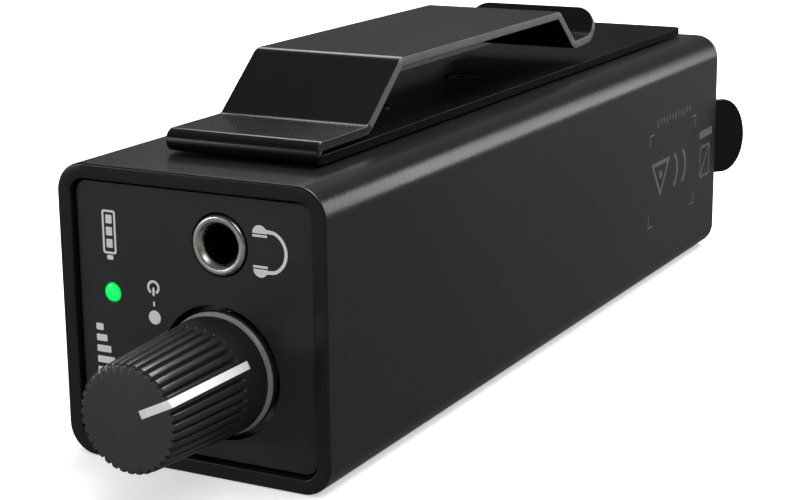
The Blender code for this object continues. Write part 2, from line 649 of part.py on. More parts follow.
def build_socket_shell():
    """Round shell of the combination socket, slotted at +X for the latch, with its two ears."""
    centre = (0, 0, MID_Z)
    black = make_material("shell_plastic", (0.02, 0.02, 0.02), 0.45)
    shell = make_object("socket_shell", ring(SHELL_RADIUS, SHELL_BORE, 36.6 * MM, 56.2 * MM, 56),
                        centre, None, black, 30)
    for name, low in (("upper", 6.4 * MM), ("lower", -7.9 * MM)):
        boolean(shell, f"add_ear_{name}",
                box((8.4 * MM, 13.6 * MM), (48.4 * MM, 51.6 * MM), (low, low + 1.5 * MM)),
                centre, "UNION")
    boolean(shell, "cut_latch_slot",
            box((10.6 * MM, 14.5 * MM), (43.0 * MM, 58 * MM), (-6.1 * MM, 6.1 * MM)), centre)
    boolean(shell, "cut_hook_window",
            box((7.5 * MM, 12 * MM), (43.4 * MM, 46.4 * MM), (-2.6 * MM, 2.6 * MM)), centre)
    boolean(shell, "cut_pin_holes", rod(0.9 * MM, -9 * MM, 9 * MM, 20, "Z"),
            (LATCH_X, LATCH_Y, MID_Z))


def build_socket_insert():
    """Centre of the socket: 6.35 mm plug bore with the three pin holes around it."""
    profile = [(PLUG_BORE, 36.3 * MM), (9.4 * MM, 36.3 * MM), (9.4 * MM, 38.5 * MM),
               (INSERT_RADIUS, 38.5 * MM), (INSERT_RADIUS, 54.1 * MM),
               (INSERT_RADIUS - 0.4 * MM, 54.5 * MM), (PLUG_BORE + 0.5 * MM, 54.5 * MM),
               (PLUG_BORE, 54.0 * MM)]
    black = make_material("insert_plastic", (0.025, 0.025, 0.025), 0.5)
    insert = make_object("socket_insert", turned(profile, 48), (0, 0, MID_Z), None, black, 30)
    for index, (x, z) in enumerate(pin_positions()):
        boolean(insert, f"cut_pin_hole_{index + 1}", rod(1.3 * MM, 35 * MM, 56 * MM, 20), (x, 0, z))
        brass = make_material(f"pin_contact_{index + 1}_brass", (0.75, 0.62, 0.35), 0.3, 1.0)
        make_object(f"pin_contact_{index + 1}",
                    ring(1.0 * MM, 0.6 * MM, 34.0 * MM, 51.5 * MM, 16), (x, 0, z), None, brass, 30)


def pin_positions():
    """Three contacts on a circle: two above the centre, one below."""
    radius = 5.5 * MM
    return [(radius * math.cos(math.radians(a)), MID_Z + radius * math.sin(math.radians(a)))
            for a in (40, 140, 270)]


def build_socket_back():
    """Closed sleeve that takes the tip of the plug, and its three contact strips."""
    centre = (0, 0, MID_Z)
    profile = [(0, 21.0 * MM), (6.2 * MM, 21.0 * MM), (6.2 * MM, 33.7 * MM),
               (3.9 * MM, 33.7 * MM), (3.9 * MM, 22.5 * MM), (0, 22.5 * MM)]
    black = make_material("socket_back_plastic", (0.02, 0.02, 0.02), 0.5)
    make_object("socket_back", turned(profile, 40), centre, None, black, 30)
    for name, angle in (("tip", -60), ("ring", 0), ("sleeve", 60)):
        tin = make_material(f"plug_contact_{name}_tin", (0.7, 0.7, 0.68), 0.3, 1.0)
        bm = box((6.6 * MM, 6.95 * MM), (19.0 * MM, 33.5 * MM), (-1.3 * MM, 1.3 * MM))
        turn = Matrix.Rotation(math.radians(angle), 3, "Y")
        bmesh.ops.rotate(bm, verts=bm.verts, matrix=turn)
        make_object(f"plug_contact_{name}", bm, centre, None, tin)


def build_latch(pivot):
    """The latch: an arm on a cross pin, a hook into the shell and the flared, rounded tab."""
    centre = (LATCH_X, LATCH_Y, MID_Z)
    half = LATCH_WIDTH / 2
    black = make_material("latch_plastic", (0.02, 0.02, 0.02), 0.4)
    arm = [(-2.5 * MM, -5.8 * MM), (0.85 * MM, -5.8 * MM), (0.85 * MM, 7.1 * MM),
           (-0.15 * MM, 7.1 * MM), (-0.15 * MM, -4.5 * MM), (-2.5 * MM, -4.5 * MM)]
    lever = make_object("latch_lever", prism(arm, "Z", -2.1 * MM, 2.1 * MM), centre, pivot, black)
    boolean(lever, "add_latch_plate",
            box((-0.15 * MM, 0.85 * MM), (-3.0 * MM, 6.9 * MM), (-half, half)), centre, "UNION")
    boolean(lever, "add_latch_knuckle", rod(1.3 * MM, -half, half, 24, "Z"), centre, "UNION")
    boolean(lever, "add_latch_tab", latch_tab(), centre, "UNION")
    boolean(lever, "cut_latch_bore", rod(0.9 * MM, -8 * MM, 8 * MM, 20, "Z"), centre)
    steel = make_material("pin_steel", (0.55, 0.55, 0.56), 0.3, 1.0)
    make_object("latch_pin", rod(0.6 * MM, -7.6 * MM, 7.6 * MM, 20, "Z"), centre, None, steel, 30)


def latch_tab():
    """D-shaped tab, in the latch's own frame, flared outwards at 45 degrees."""
    half, length, bow = 5.42 * MM, 7.45 * MM, 3.4 * MM
    curve = arc((0, 0), 1.0, -90, 90, 14)
    outline = [(-0.2 * MM, -half)]
    outline += [(length - bow + bow * x, half * z) for x, z in curve]
    outline += [(-0.2 * MM, half)]
    bm = prism(outline, "Y", -LATCH_ARM / 2, LATCH_ARM / 2)
    bmesh.ops.rotate(bm, verts=bm.verts, matrix=Matrix.Rotation(math.pi / 4, 3, "Z"))
    bmesh.ops.translate(bm, verts=bm.verts, vec=(0.35 * MM, 6.7 * MM, 0.38 * MM))
    return bm


# ---------------------------------------------------------------- belt clip

def build_clip_base():
    """Lower half of the folded sheet: the plate on the tube and the curl at its front end."""
    outer = arc((0, CLIP_FOLD_RADIUS), CLIP_FOLD_RADIUS, 90, 270, 12)
    inner = arc((0, CLIP_FOLD_RADIUS), CLIP_FOLD_RADIUS - CLIP_SHEET, 270, 90, 8)
    rear = REAR - 1.5 * MM - CLIP_FOLD_Y
    lap = 0.3 * MM
    top = 2 * CLIP_FOLD_RADIUS
    outline = [(lap, top)] + outer + [(rear, 0), (rear, CLIP_SHEET)] + inner
    outline += [(lap, top - CLIP_SHEET)]
    origin = (0, CLIP_FOLD_Y, CLIP_BASE_Z)
    steel = make_material("clip_base_black", (0.02, 0.02, 0.021), 0.35, 0.2)
    base = make_object("clip_base", prism(outline, "X", CLIP_LEFT, CLIP_RIGHT), origin, None,
                       steel, 40)
    corner_cuts(base, "base", REAR - 1.5 * MM, CLIP_BASE_Z)
    for index, y in enumerate(CLIP_SCREW_YS):
        sink = [(0, -2 * MM), (1.3 * MM, -2 * MM), (1.3 * MM, 0), (2.5 * MM, CLIP_SHEET),
                (2.5 * MM, 2 * MM), (0, 2 * MM)]
        boolean(base, f"cut_base_screw_{index + 1}", turned(sink, 24, "Z"),
                (CLIP_SCREW_X, y, CLIP_BASE_Z))


def corner_cuts(base, name, rear, z):
    """Rounds the plate's two rear corners."""
    radius = 1.5 * MM
    for side, x in ((-1, CLIP_LEFT), (1, CLIP_RIGHT)):
        start, end = (90, 180) if side < 0 else (0, 90)
        centre = (x - side * radius, rear - radius)
        curve = arc(centre, radius, start, end, 5)
        corner = [(x + side * 0.2 * MM, rear + 0.2 * MM)]
        reach = [(x + side * 0.2 * MM, rear - radius), (x - side * radius, rear + 0.2 * MM)]
        if side < 0:
            outline = corner + [reach[1]] + curve + [reach[0]]
        else:
            outline = corner + [reach[0]] + curve + [reach[1]]
        boolean(base, f"cut_{name}_corner_{side + 2}", prism(outline, "Z", -1 * MM, 2 * MM),
                (0, 0, z))


def build_clip_leaf(pivot):
    """Upper half of the folded sheet: flap, ramp, raised bridge, foot and upturned lip."""
    path = [(CLIP_HINGE_Y, CLIP_HINGE_Z), (FRONT + 17.75 * MM, CLIP_HINGE_Z),
            (FRONT + 25.15 * MM, 39.12 * MM), (FRONT + 66.7 * MM, 39.12 * MM),
            (FRONT + 71.7 * MM, 34.75 * MM), (FRONT + 77.0 * MM, 35.0 * MM),
            (FRONT + 79.4 * MM, 38.4 * MM)]
    path = [(y - CLIP_HINGE_Y, z - CLIP_HINGE_Z) for y, z in path]
    steel = make_material("clip_leaf_black", (0.02, 0.02, 0.021), 0.35, 0.2)
    leaf = make_object("clip_leaf",
                       prism(strip_outline(path, CLIP_SHEET), "X", CLIP_LEFT, CLIP_RIGHT),
                       (0, CLIP_HINGE_Y, CLIP_HINGE_Z), pivot, steel)
    radius = 2.8 * MM
    top = path[-1][1] + 0.1 * MM
    for side, x in ((-1, CLIP_LEFT), (1, CLIP_RIGHT)):
        start, end = (90, 180) if side < 0 else (90, 0)
        curve = arc((x - side * radius, top - radius), radius, start, end, 6)
        outline = [(x + side * MM, top + MM), (x - side * radius, top + MM)] + curve
        outline += [(x + side * MM, top - radius)]
        boolean(leaf, f"cut_lip_corner_{side + 2}",
                prism(outline, "Y", path[-2][0] + 0.5 * MM, path[-1][0] + 2 * MM),
                (0, CLIP_HINGE_Y, CLIP_HINGE_Z))


def build_clip_fasteners():
    """Two countersunk screws, with their nuts inside the tube."""
    for index, y in enumerate(CLIP_SCREW_YS):
        top = CLIP_BASE_Z + CLIP_SHEET - 0.05 * MM
        profile = [(0, 27.1 * MM), (0.8 * MM, 27.1 * MM), (1.0 * MM, 27.3 * MM),
                   (1.0 * MM, top - 0.95 * MM), (1.95 * MM, top), (0, top)]
        steel = make_material(f"clip_screw_{index + 1}_steel", (0.08, 0.08, 0.08), 0.35, 1.0)
        make_object(f"clip_screw_{index + 1}", turned(profile, 24, "Z"), (CLIP_SCREW_X, y, 0),
                    None, steel, 30)
        hexagon = hexagon_outline(4 * MM, 24)
        bore = circle_outline(1.3 * MM, 24)
        zinc = make_material(f"clip_nut_{index + 1}_zinc", (0.6, 0.6, 0.6), 0.35, 1.0)
        make_object(f"clip_nut_{index + 1}", tube(hexagon, bore, "Z", 27.5 * MM, 29.1 * MM),
                    (CLIP_SCREW_X, y, 0), None, zinc)


# ---------------------------------------------------------------- assembly

def build():
    clear_scene()
    volume_axis = make_pivot("volume_axis", (KNOB_X, FRONT, KNOB_Z))
    clip_axis = make_pivot("clip_axis", (0, CLIP_HINGE_Y, CLIP_HINGE_Z))
    latch_axis = make_pivot("latch_axis", (LATCH_X, LATCH_Y, MID_Z))
    door_guide = make_pivot("door_guide", (-TUBE_WIDTH / 2, DOOR_Y, MID_Z))
    mode_guide = make_pivot("mode_guide", (-10.6 * MM, 21.4 * MM, MID_Z - 1.0 * MM))

    build_housing()
    build_front_panel()
    build_front_bracket()
    build_rear_panel()
    build_knob(volume_axis)
    build_pot_shaft(volume_axis)
    build_switch_cam(volume_axis)
    build_pot_fixed()
    build_phones_socket()
    build_power_light()
    build_boards()
    build_board_components()
    build_battery_tray()
    build_cells()
    build_contact_plates()
    plate = 0.7 * MM
    build_contact_spring("contact_spring_1",
                         (CELL_X, BAY_FRONT + plate + GAP, MID_Z + CELL_SPACING / 2), 1)
    build_contact_spring("contact_spring_2",
                         (CELL_X, BAY_REAR - plate - GAP, MID_Z - CELL_SPACING / 2), -1)
    build_battery_door(door_guide)
    build_mode_switch(mode_guide)
    build_socket_shell()
    build_socket_insert()
    build_socket_back()
    build_latch(latch_axis)
    build_clip_base()
    build_clip_leaf(clip_axis)
    build_clip_fasteners()


build()
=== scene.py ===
"""Looks of the belt-pack headphone amplifier, built around its CAD part.

Frame: X across the tube, Y along it (front panel faces -Y), Z up, origin at the centre of the
underside. Lengths are in metres. Every piece is modelled in place, with its object at the
origin, so that Object texture coordinates are metres in this frame too.
"""
import math

import bmesh
import bpy
from mathutils import Matrix, Vector


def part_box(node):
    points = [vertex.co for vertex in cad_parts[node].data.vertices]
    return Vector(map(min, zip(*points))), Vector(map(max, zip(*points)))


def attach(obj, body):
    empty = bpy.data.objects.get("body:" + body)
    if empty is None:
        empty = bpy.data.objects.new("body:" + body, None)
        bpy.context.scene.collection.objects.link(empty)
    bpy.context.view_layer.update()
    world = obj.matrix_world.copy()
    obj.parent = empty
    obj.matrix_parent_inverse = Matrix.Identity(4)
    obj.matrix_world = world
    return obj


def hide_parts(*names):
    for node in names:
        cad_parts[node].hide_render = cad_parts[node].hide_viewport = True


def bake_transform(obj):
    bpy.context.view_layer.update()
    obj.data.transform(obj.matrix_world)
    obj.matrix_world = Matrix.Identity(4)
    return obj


MM = 0.001
MICRON = 1e-6
INK = 8 * MICRON
# The two directions of an outline and the direction that it is moved along, for each axis
AXES = {
    "X": (Vector((0, 1, 0)), Vector((0, 0, 1)), Vector((1, 0, 0))),
    "Y": (Vector((1, 0, 0)), Vector((0, 0, 1)), Vector((0, 1, 0))),
    "Z": (Vector((1, 0, 0)), Vector((0, 1, 0)), Vector((0, 0, 1))),
}

# Volume knob
FLUTES = 36
FLUTES_REACH = 11.46 * MM
CAP_RADIUS = 5.4 * MM
CAP_DOME = 0.2 * MM
CAP_DOME_RADIUS = 4.95 * MM
POINTER_ANGLE = math.radians(25.0)
POINTER_PROUD = 0.03 * MM

# Tube and end panels
PANEL_CORNER = 1.3 * MM
PANEL_EDGE = 0.09 * MM
SCREW_HOLE = 1.3 * MM

# Belt clip, folded from one sheet. Its leaf's centre line is (y, z) in mm.
CLIP_SHEET = 1.0 * MM
CLIP_BEND = 1.6 * MM
CLIP_FOLD = 0.7 * MM
CLIP_LEAF = ((-38.75, 33.1), (-31.35, 39.12), (10.2, 39.12), (15.2, 34.75), (20.5, 35.0),
             (22.9, 38.4))
LIP_CORNER = 2.8 * MM
TAIL_CORNER = 1.5 * MM

# Rear socket and latch
PIN_NUMBERS = (1, 2, 3)
PIVOT_HOLE = 0.9 * MM

# Rounding of the edges of pieces kept from the CAD
CAD_EDGE = 0.06 * MM

# Studio light. A range is (low, high, level at low, level at high). The world's and the floor's run
# over the height of the direction, and the room's over its depth. Reflections turn from the floor
# to the room between the two heights of the horizon.
WORLD_LIGHT = (-0.15, 0.15, 0.30, 0.68)
FLOOR_REFLECTION = (-0.33, -0.05, 0.15, 0.27)
ROOM_REFLECTION = (-0.60, -0.10, 0.03, 0.10)
HORIZON = (-0.04, 0.02)
SOFTBOXES = (
    # name, direction from the object, distance, width, height, radiance
    ("softbox_rear", (0.475, 0.86, 0.18), 1.3, 0.30, 0.54, 4.1),
    ("softbox_top", (0.16, 0.33, 0.93), 1.2, 0.95, 0.60, 11.0),
    ("softbox_right", (0.56, -0.30, 0.77), 1.1, 0.50, 0.45, 2.6),
    ("softbox_left", (-0.456, 0.66, 0.60), 1.3, 0.30, 0.50, 3.2),
    ("softbox_low", (-0.67, -0.73, 0.13), 1.1, 0.40, 0.30, 3.9),
)
LIGHT_AIM = Vector((0, 0, 15.5 * MM))

# Camera: where it looks from, as angles about the point that it is aimed at
VIEW_AZIMUTH = math.radians(28.092)
VIEW_ELEVATION = math.radians(14.335)
VIEW_ROLL = math.radians(0.566)
VIEW_AIM = Vector((4.17, -20.18, 15.5)) * MM
VIEW_DISTANCE = 216.2 * MM
VIEW_LENS = 85.06

# Tabletop, just under the object
FLOOR_WIDTH = 8.0
FLOOR_CORNER = 1.0
FLOOR_BOTTOM = -0.02
FLOOR_TOP = -0.05 * MM


# ---------------------------------------------------------------- outlines

def arc(centre, radius, start, end, steps):
    """Points on a circle between two angles in degrees."""
    points = []
    for step in range(steps + 1):
        angle = math.radians(start + (end - start) * step / steps)
        points.append((centre[0] + radius * math.cos(angle),
                       centre[1] + radius * math.sin(angle)))
    return points


def circle(centre, radius, steps):
    """Outline of a circle as a regular polygon."""
    return arc(centre, radius, 0, 360, steps)[:steps]


def rounded_rect(low, high, radius, steps=8):
    """Outline of the rectangle between two corner points, its corners rounded."""
    quarters = ((high[0], high[1], 0), (low[0], high[1], 90),
                (low[0], low[1], 180), (high[0], low[1], 270))
    points = []
    for x, y, start in quarters:
        centre = (x - math.copysign(radius, x - (low[0] + high[0]) / 2),
                  y - math.copysign(radius, y - (low[1] + high[1]) / 2))
        points += arc(centre, radius, start, start + 90, steps)
    return points


def around(centre, width, height):
    """The two corner points of a rectangle about a centre."""
    return ((centre[0] - width / 2, centre[1] - height / 2),
            (centre[0] + width / 2, centre[1] + height / 2))


def frame_outlines(low, high, pen, radii, steps=8):
    """Outer and inner outline of a rectangular frame drawn with a pen of the given width."""
    inner_low = (low[0] + pen, low[1] + pen)
    inner_high = (high[0] - pen, high[1] - pen)
    return [rounded_rect(low, high, radii[0], steps),
            rounded_rect(inner_low, inner_high, radii[1], steps)]


def ribbon(points, width):
    """Closed outline of an open line drawn with a pen of the given width."""
    points = [Vector(point) for point in points]
    runs = [(b - a).normalized() for a, b in zip(points, points[1:])]
    left, right = [], []
    for index, point in enumerate(points):
        before = runs[max(index - 1, 0)]
        after = runs[min(index, len(runs) - 1)]
        normal = Vector((-before.y, before.x))
        bisector = Vector((-(before + after).y, (before + after).x)).normalized()
        offset = bisector * (width / 2 / bisector.dot(normal))
        left.append(tuple(point + offset))
        right.append(tuple(point - offset))
    return left + right[::-1]


def fillet(points, radius, steps=6):
    """Rounds each inner corner of an open line to the given radius."""
    points = [Vector(point) for point in points]
    smooth = [points[0]]
    for before, corner, after in zip(points, points[1:], points[2:]):
        into = (before - corner).normalized()
        out = (after - corner).normalized()
        half = into.angle(out) / 2
        reach = radius / math.tan(half)
        centre = corner + (into + out).normalized() * (radius / math.sin(half))
        start = corner + into * reach - centre
        end = corner + out * reach - centre
        for step in range(steps + 1):
            blend = start.lerp(end, step / steps)
            smooth.append(centre + blend.normalized() * radius)
    smooth.append(points[-1])
    return smooth


# ---------------------------------------------------------------- solids

def loft(rings, loop=False):
    """Skins a row of equal rings of points. The ends are capped, unless the row is a loop."""
    bm = bmesh.new()
    loops = [[bm.verts.new(point) for point in ring] for ring in rings]
    pairs = list(zip(loops, loops[1:]))
    if loop:
        pairs.append((loops[-1], loops[0]))
    else:
        bm.faces.new(loops[0])
        bm.faces.new(loops[-1])
    for front, back in pairs:
        for index in range(len(front)):
            bm.faces.new((front[index - 1], front[index], back[index], back[index - 1]))
    bmesh.ops.remove_doubles(bm, verts=bm.verts, dist=1e-7)
    return bm


def on_plane(outline, axis, along_value):
    """Lays a flat outline across an axis, at a distance along it."""
    across, up, along = AXES[axis]
    return [across * a + up * b + along * along_value for a, b in outline]


def prism(outline, axis, low, high):
    """Extrudes an outline along an axis, from one distance to another."""
    return loft([on_plane(outline, axis, low), on_plane(outline, axis, high)])


def box(low, high):
    """Box between two corner points."""
    outline = [(low[0], low[1]), (high[0], low[1]), (high[0], high[1]), (low[0], high[1])]
    return prism(outline, "Z", low[2], high[2])


def block(x_span, y_span, z_span, level):
    """Box between spans in mm. The z span is measured from a level, in metres."""
    (x0, x1), (y0, y1), (z0, z1) = x_span, y_span, z_span
    return box((x0 * MM, y0 * MM, level + z0 * MM), (x1 * MM, y1 * MM, level + z1 * MM))


def in_mm(points, start, way=1):
    """Profile from (radius, distance from the start) pairs in mm."""
    return [(radius * MM, start + way * along * MM) for radius, along in points]


def turned(profile, axis, centre, steps=96):
    """Revolves (radius, distance along the axis) points about an axis through the centre.
    A profile that starts off the axis gives a ring."""
    rings = [on_plane(circle(centre, max(radius, 1e-9), steps), axis, along)
             for radius, along in profile]
    return loft(rings, loop=profile[0][0] > 0)


def joined(*parts):
    """One mesh from several that don't touch."""
    bm = bmesh.new()
    for part in parts:
        mesh = bpy.data.meshes.new("part")
        part.to_mesh(mesh)
        part.free()
        bm.from_mesh(mesh)
        bpy.data.meshes.remove(mesh)
    return bm


def new_object(name, bm):
    """Links an object made of a mesh under construction, with its normals turned outwards."""
    bmesh.ops.recalc_face_normals(bm, faces=bm.faces)
    mesh = bpy.data.meshes.new(name)
    bm.to_mesh(mesh)
    bm.free()
    obj = bpy.data.objects.new(name, mesh)
    bpy.context.scene.collection.objects.link(obj)
    return obj


def soften(obj, bevel, angle):
    """Rounds an object's edges and keeps its flat faces flat in shading."""
    if bevel:
        modifier = obj.modifiers.new("edges", "BEVEL")
        modifier.width = bevel
        modifier.segments = 2
        modifier.limit_method = "ANGLE"
        modifier.angle_limit = math.radians(angle)
    modifier = obj.modifiers.new("normals", "WEIGHTED_NORMAL")
    modifier.keep_sharp = True


def bake(obj):
    """Applies an object's modifiers to its mesh."""
    graph = bpy.context.evaluated_depsgraph_get()
    graph.update()
    mesh = bpy.data.meshes.new_from_object(obj.evaluated_get(graph))
    obj.modifiers.clear()
    old = obj.data
    obj.data = mesh
    bpy.data.meshes.remove(old)
    mesh.name = obj.name


def add_piece(name, bm, material, body, replaced=(), cuts=(), joins=(), bevel=0.0,
              angle=30):
    """Makes a finished piece: shapes joined on and cut out, edges rounded, riding on its body."""
    piece = new_object(name, bm)
    tools = []
    for operation, shapes in (("UNION", joins), ("DIFFERENCE", cuts)):
        for shape in shapes:
            tool = new_object(name + "_tool", shape)
            modifier = piece.modifiers.new("shape", "BOOLEAN")
            modifier.operation = operation
            modifier.solver = "EXACT"
            modifier.object = tool
            tools.append(tool)
    if tools:
        bake(piece)
        for tool in tools:
            bpy.data.objects.remove(tool, do_unlink=True)
    piece.data.shade_smooth()
    if not bevel:
        piece.data.set_sharp_from_angle(angle=math.radians(angle))
    soften(piece, bevel, angle)
    bake(piece)
    piece.data.materials.clear()
    piece.data.materials.append(material)
    if body:
        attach(piece, body)
    if replaced:
        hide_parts(*replaced)
    return piece


def paint_faces(piece, material, chosen):
    """Gives one more finish to the faces of a piece that pass a test."""
    piece.data.materials.append(material)
    index = len(piece.data.materials) - 1
    for face in piece.data.polygons:
        if chosen(face):
            face.material_index = index


def from_axis(face, centre):
    """How far a face is from the line along Y through a centre."""
    return math.hypot(face.center.x - centre.x, face.center.z - centre.z)


# ---------------------------------------------------------------- finishes

class Graph:
    """A node tree under construction."""

    def __init__(self, tree):
        self.nodes = tree.nodes
        self.links = tree.links

    def add(self, kind, inputs=None, **settings):
        """Adds a node. Its inputs are given by name or number, as values or as other outputs."""
        node = self.nodes.new(kind)
        for key, value in settings.items():
            setattr(node, key, value)
        for key, value in (inputs or {}).items():
            self.feed(node.inputs[key], value)
        return node

    def feed(self, socket, value):
        """Gives an input a value, or links another node's output to it."""
        if isinstance(value, bpy.types.NodeSocket):
            self.links.new(value, socket)
        else:
            socket.default_value = value

    def remap(self, value, low, high, to_low=0.0, to_high=1.0):
        """Clamped straight line from one range of values to another."""
        inputs = {"Value": value, "From Min": low, "From Max": high, "To Min": to_low,
                  "To Max": to_high}
        return self.add("ShaderNodeMapRange", inputs).outputs["Result"]


class Finish(Graph):
    """A material's node graph, built around its Principled shader."""

    def __init__(self, name):
        self.material = bpy.data.materials.new(name)
        self.material.use_nodes = True
        super().__init__(self.material.node_tree)
        self.shader = self.nodes["Principled BSDF"]
        self.place = self.add("ShaderNodeTexCoord").outputs["Object"]

    def set(self, **inputs):
        """Feeds the Principled shader. An underscore stands for a space in an input's name."""
        for key, value in inputs.items():
            self.feed(self.shader.inputs[key.replace("_", " ")], value)

    def stretched(self, scale):
        """Texture coordinates scaled along each axis, for marks that run in one direction."""
        return self.add("ShaderNodeMapping", {"Vector": self.place, "Scale": scale}
                        ).outputs["Vector"]

    def noise(self, size, detail=2.0, vector=None, roughness=0.5):
        """Noise whose features are about this size, in metres."""
        inputs = {"Vector": vector or self.place, "Scale": 0.5 / size, "Detail": detail,
                  "Roughness": roughness}
        return self.add("ShaderNodeTexNoise", inputs).outputs["Fac"]

    def cells(self, size, vector):
        """Distance to the nearest of scattered points that lie about this far apart."""
        inputs = {"Vector": vector, "Scale": 1 / size}
        return self.add("ShaderNodeTexVoronoi", inputs).outputs["Distance"]

    def math(self, operation, *values):
        node = self.add("ShaderNodeMath", dict(enumerate(values)), operation=operation)
        return node.outputs["Value"]

    def mix(self, factor, first, second):
        node = self.add("ShaderNodeMix", data_type="RGBA")
        self.feed(node.inputs[0], factor)
        self.feed(node.inputs[6], first)
        self.feed(node.inputs[7], second)
        return node.outputs[2]

    def axis(self, name):
        return self.add("ShaderNodeSeparateXYZ", {"Vector": self.place}).outputs[name]

    def edges(self, radius):
        """Rises to 1 along convex and concave edges, within about the radius."""
        rounded = self.add("ShaderNodeBevel", {"Radius": radius}, samples=6).outputs["Normal"]
        true = self.add("ShaderNodeNewGeometry").outputs["Normal"]
        dot = self.add("ShaderNodeVectorMath", {0: rounded, 1: true}, operation="DOT_PRODUCT")
        return self.remap(dot.outputs["Value"], 0.985, 0.86)

    def relief(self, height, depth, over=None):
        """Adds a height field, from 0 to 1, of the given depth in metres."""
        inputs = {"Height": height, "Distance": depth, "Strength": 1.0}
        if over:
            inputs["Normal"] = over
        return self.add("ShaderNodeBump", inputs).outputs["Normal"]


def colour(grey, tint=(1.0, 1.0, 1.0)):
    """Tinted grey as RGBA."""
    return (grey * tint[0], grey * tint[1], grey * tint[2], 1.0)


def coated(name, dark, light, rough, grain=0.3, depth=5.0, cloud=9.0, painted_edge_highlight=0.0,
           tint=(1.0, 1.0, 1.02), specular=0.5):
    """Paint or moulded plastic: clouded colour, fine pebbled grain, handled sheen, and edges
    painted lighter in patches as a painted highlight.
    grain and cloud are sizes in mm, and depth is the grain's height in microns."""
    finish = Finish(name)
    clouds = finish.noise(cloud * MM, 3.0)
    pebbles = finish.noise(grain * MM, 2.0, roughness=0.6)
    fine = finish.noise(grain * 0.35 * MM, 1.0)
    base = finish.mix(finish.remap(clouds, 0.3, 0.7), colour(dark, tint), colour(light, tint))
    base = finish.mix(finish.remap(pebbles, 0.45, 0.75, 0.0, 0.35), base,
                      colour(light * 1.25, tint))
    # Painted highlight: light grey painted in patches along the edges, standing in for the light
    # that the edges catch.
    if painted_edge_highlight:
        patches = finish.remap(finish.noise(1.6 * MM, 4.0), 0.42, 0.66)
        mask = finish.math("MULTIPLY", finish.edges(0.22 * MM), patches)
        base = finish.mix(finish.math("MULTIPLY", mask, painted_edge_highlight), base, colour(0.16, tint))
    wiped = finish.noise(14 * MM, 4.0, finish.stretched((1.0, 0.35, 1.0)))
    finish.set(Base_Color=base, Specular_IOR_Level=specular,
               Roughness=finish.remap(wiped, 0.3, 0.72, rough - 0.06, rough + 0.08))
    first = finish.relief(pebbles, depth * MICRON)
    finish.set(Normal=finish.relief(fine, depth * 0.3 * MICRON, first))
    return finish.material


def metal(name, dark, light, rough, tint=(1.0, 1.0, 1.0), lines=(1.0, 1.0, 1.0), depth=1.5,
          tarnish=0.25):
    """Bare or plated metal: drawn lines in relief, dull tarnished patches, bright rubbed ones."""
    finish = Finish(name)
    drawn = finish.noise(0.12 * MM, 3.0, finish.stretched(lines))
    patches = finish.noise(2.4 * MM, 5.0, roughness=0.65)
    base = finish.mix(finish.remap(drawn, 0.3, 0.7), colour(dark, tint), colour(light, tint))
    dull = finish.remap(patches, 0.5, 0.72, 0.0, tarnish)
    base = finish.mix(dull, base, colour(dark * 0.55, tint))
    uneven = finish.math("ADD", finish.remap(drawn, 0.3, 0.7, -0.04, 0.05),
                         finish.remap(patches, 0.4, 0.7, rough, rough + 0.12))
    finish.set(Base_Color=base, Metallic=1.0, Roughness=uneven)
    finish.set(Normal=finish.relief(drawn, depth * MICRON))
    return finish.material


def print_ink(name, grey):
    """Screen-printed ink: slightly uneven cover, with pinholes."""
    finish = Finish(name)
    cover = finish.noise(0.09 * MM, 2.0)
    clouds = finish.noise(1.2 * MM, 2.0)
    base = finish.mix(finish.remap(clouds, 0.3, 0.7), colour(grey * 0.92), colour(grey))
    base = finish.mix(finish.remap(cover, 0.62, 0.8, 0.0, 0.4), base, colour(grey * 0.45))
    finish.set(Base_Color=base, Roughness=finish.remap(cover, 0.3, 0.7, 0.42, 0.6))
    finish.set(Normal=finish.relief(cover, 2 * MICRON))
    return finish.material


def lit_lens():
    """Green light pipe, brightest at its middle, with a faint moulded texture."""
    finish = Finish("led_green")
    low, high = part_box("led_lens")
    centre = (low + high) / 2
    local = finish.add("ShaderNodeVectorMath", {0: finish.place, 1: (centre.x, 0, centre.z)},
                       operation="SUBTRACT").outputs["Vector"]
    flat = finish.add("ShaderNodeVectorMath", {0: local, 1: (1, 0, 1)},
                      operation="MULTIPLY").outputs["Vector"]
    radius = finish.add("ShaderNodeVectorMath", {0: flat}, operation="LENGTH").outputs["Value"]
    edge = finish.remap(radius, 0.5 * MM, 1.0 * MM)
    ripple = finish.noise(0.3 * MM)
    glow = finish.mix(edge, (0.0, 1.0, 0.13, 1), (0.0, 0.72, 0.09, 1))
    glow = finish.mix(finish.remap(ripple, 0.3, 0.7, 0.0, 0.12), glow, (0.05, 1.0, 0.25, 1))
    finish.set(Base_Color=finish.mix(ripple, (0.0, 0.2, 0.05, 1), (0.0, 0.3, 0.07, 1)),
               Emission_Color=glow, Emission_Strength=1.0,
               Roughness=finish.remap(ripple, 0.3, 0.7, 0.2, 0.32))
    finish.set(Normal=finish.relief(ripple, 3 * MICRON))
    return finish.material


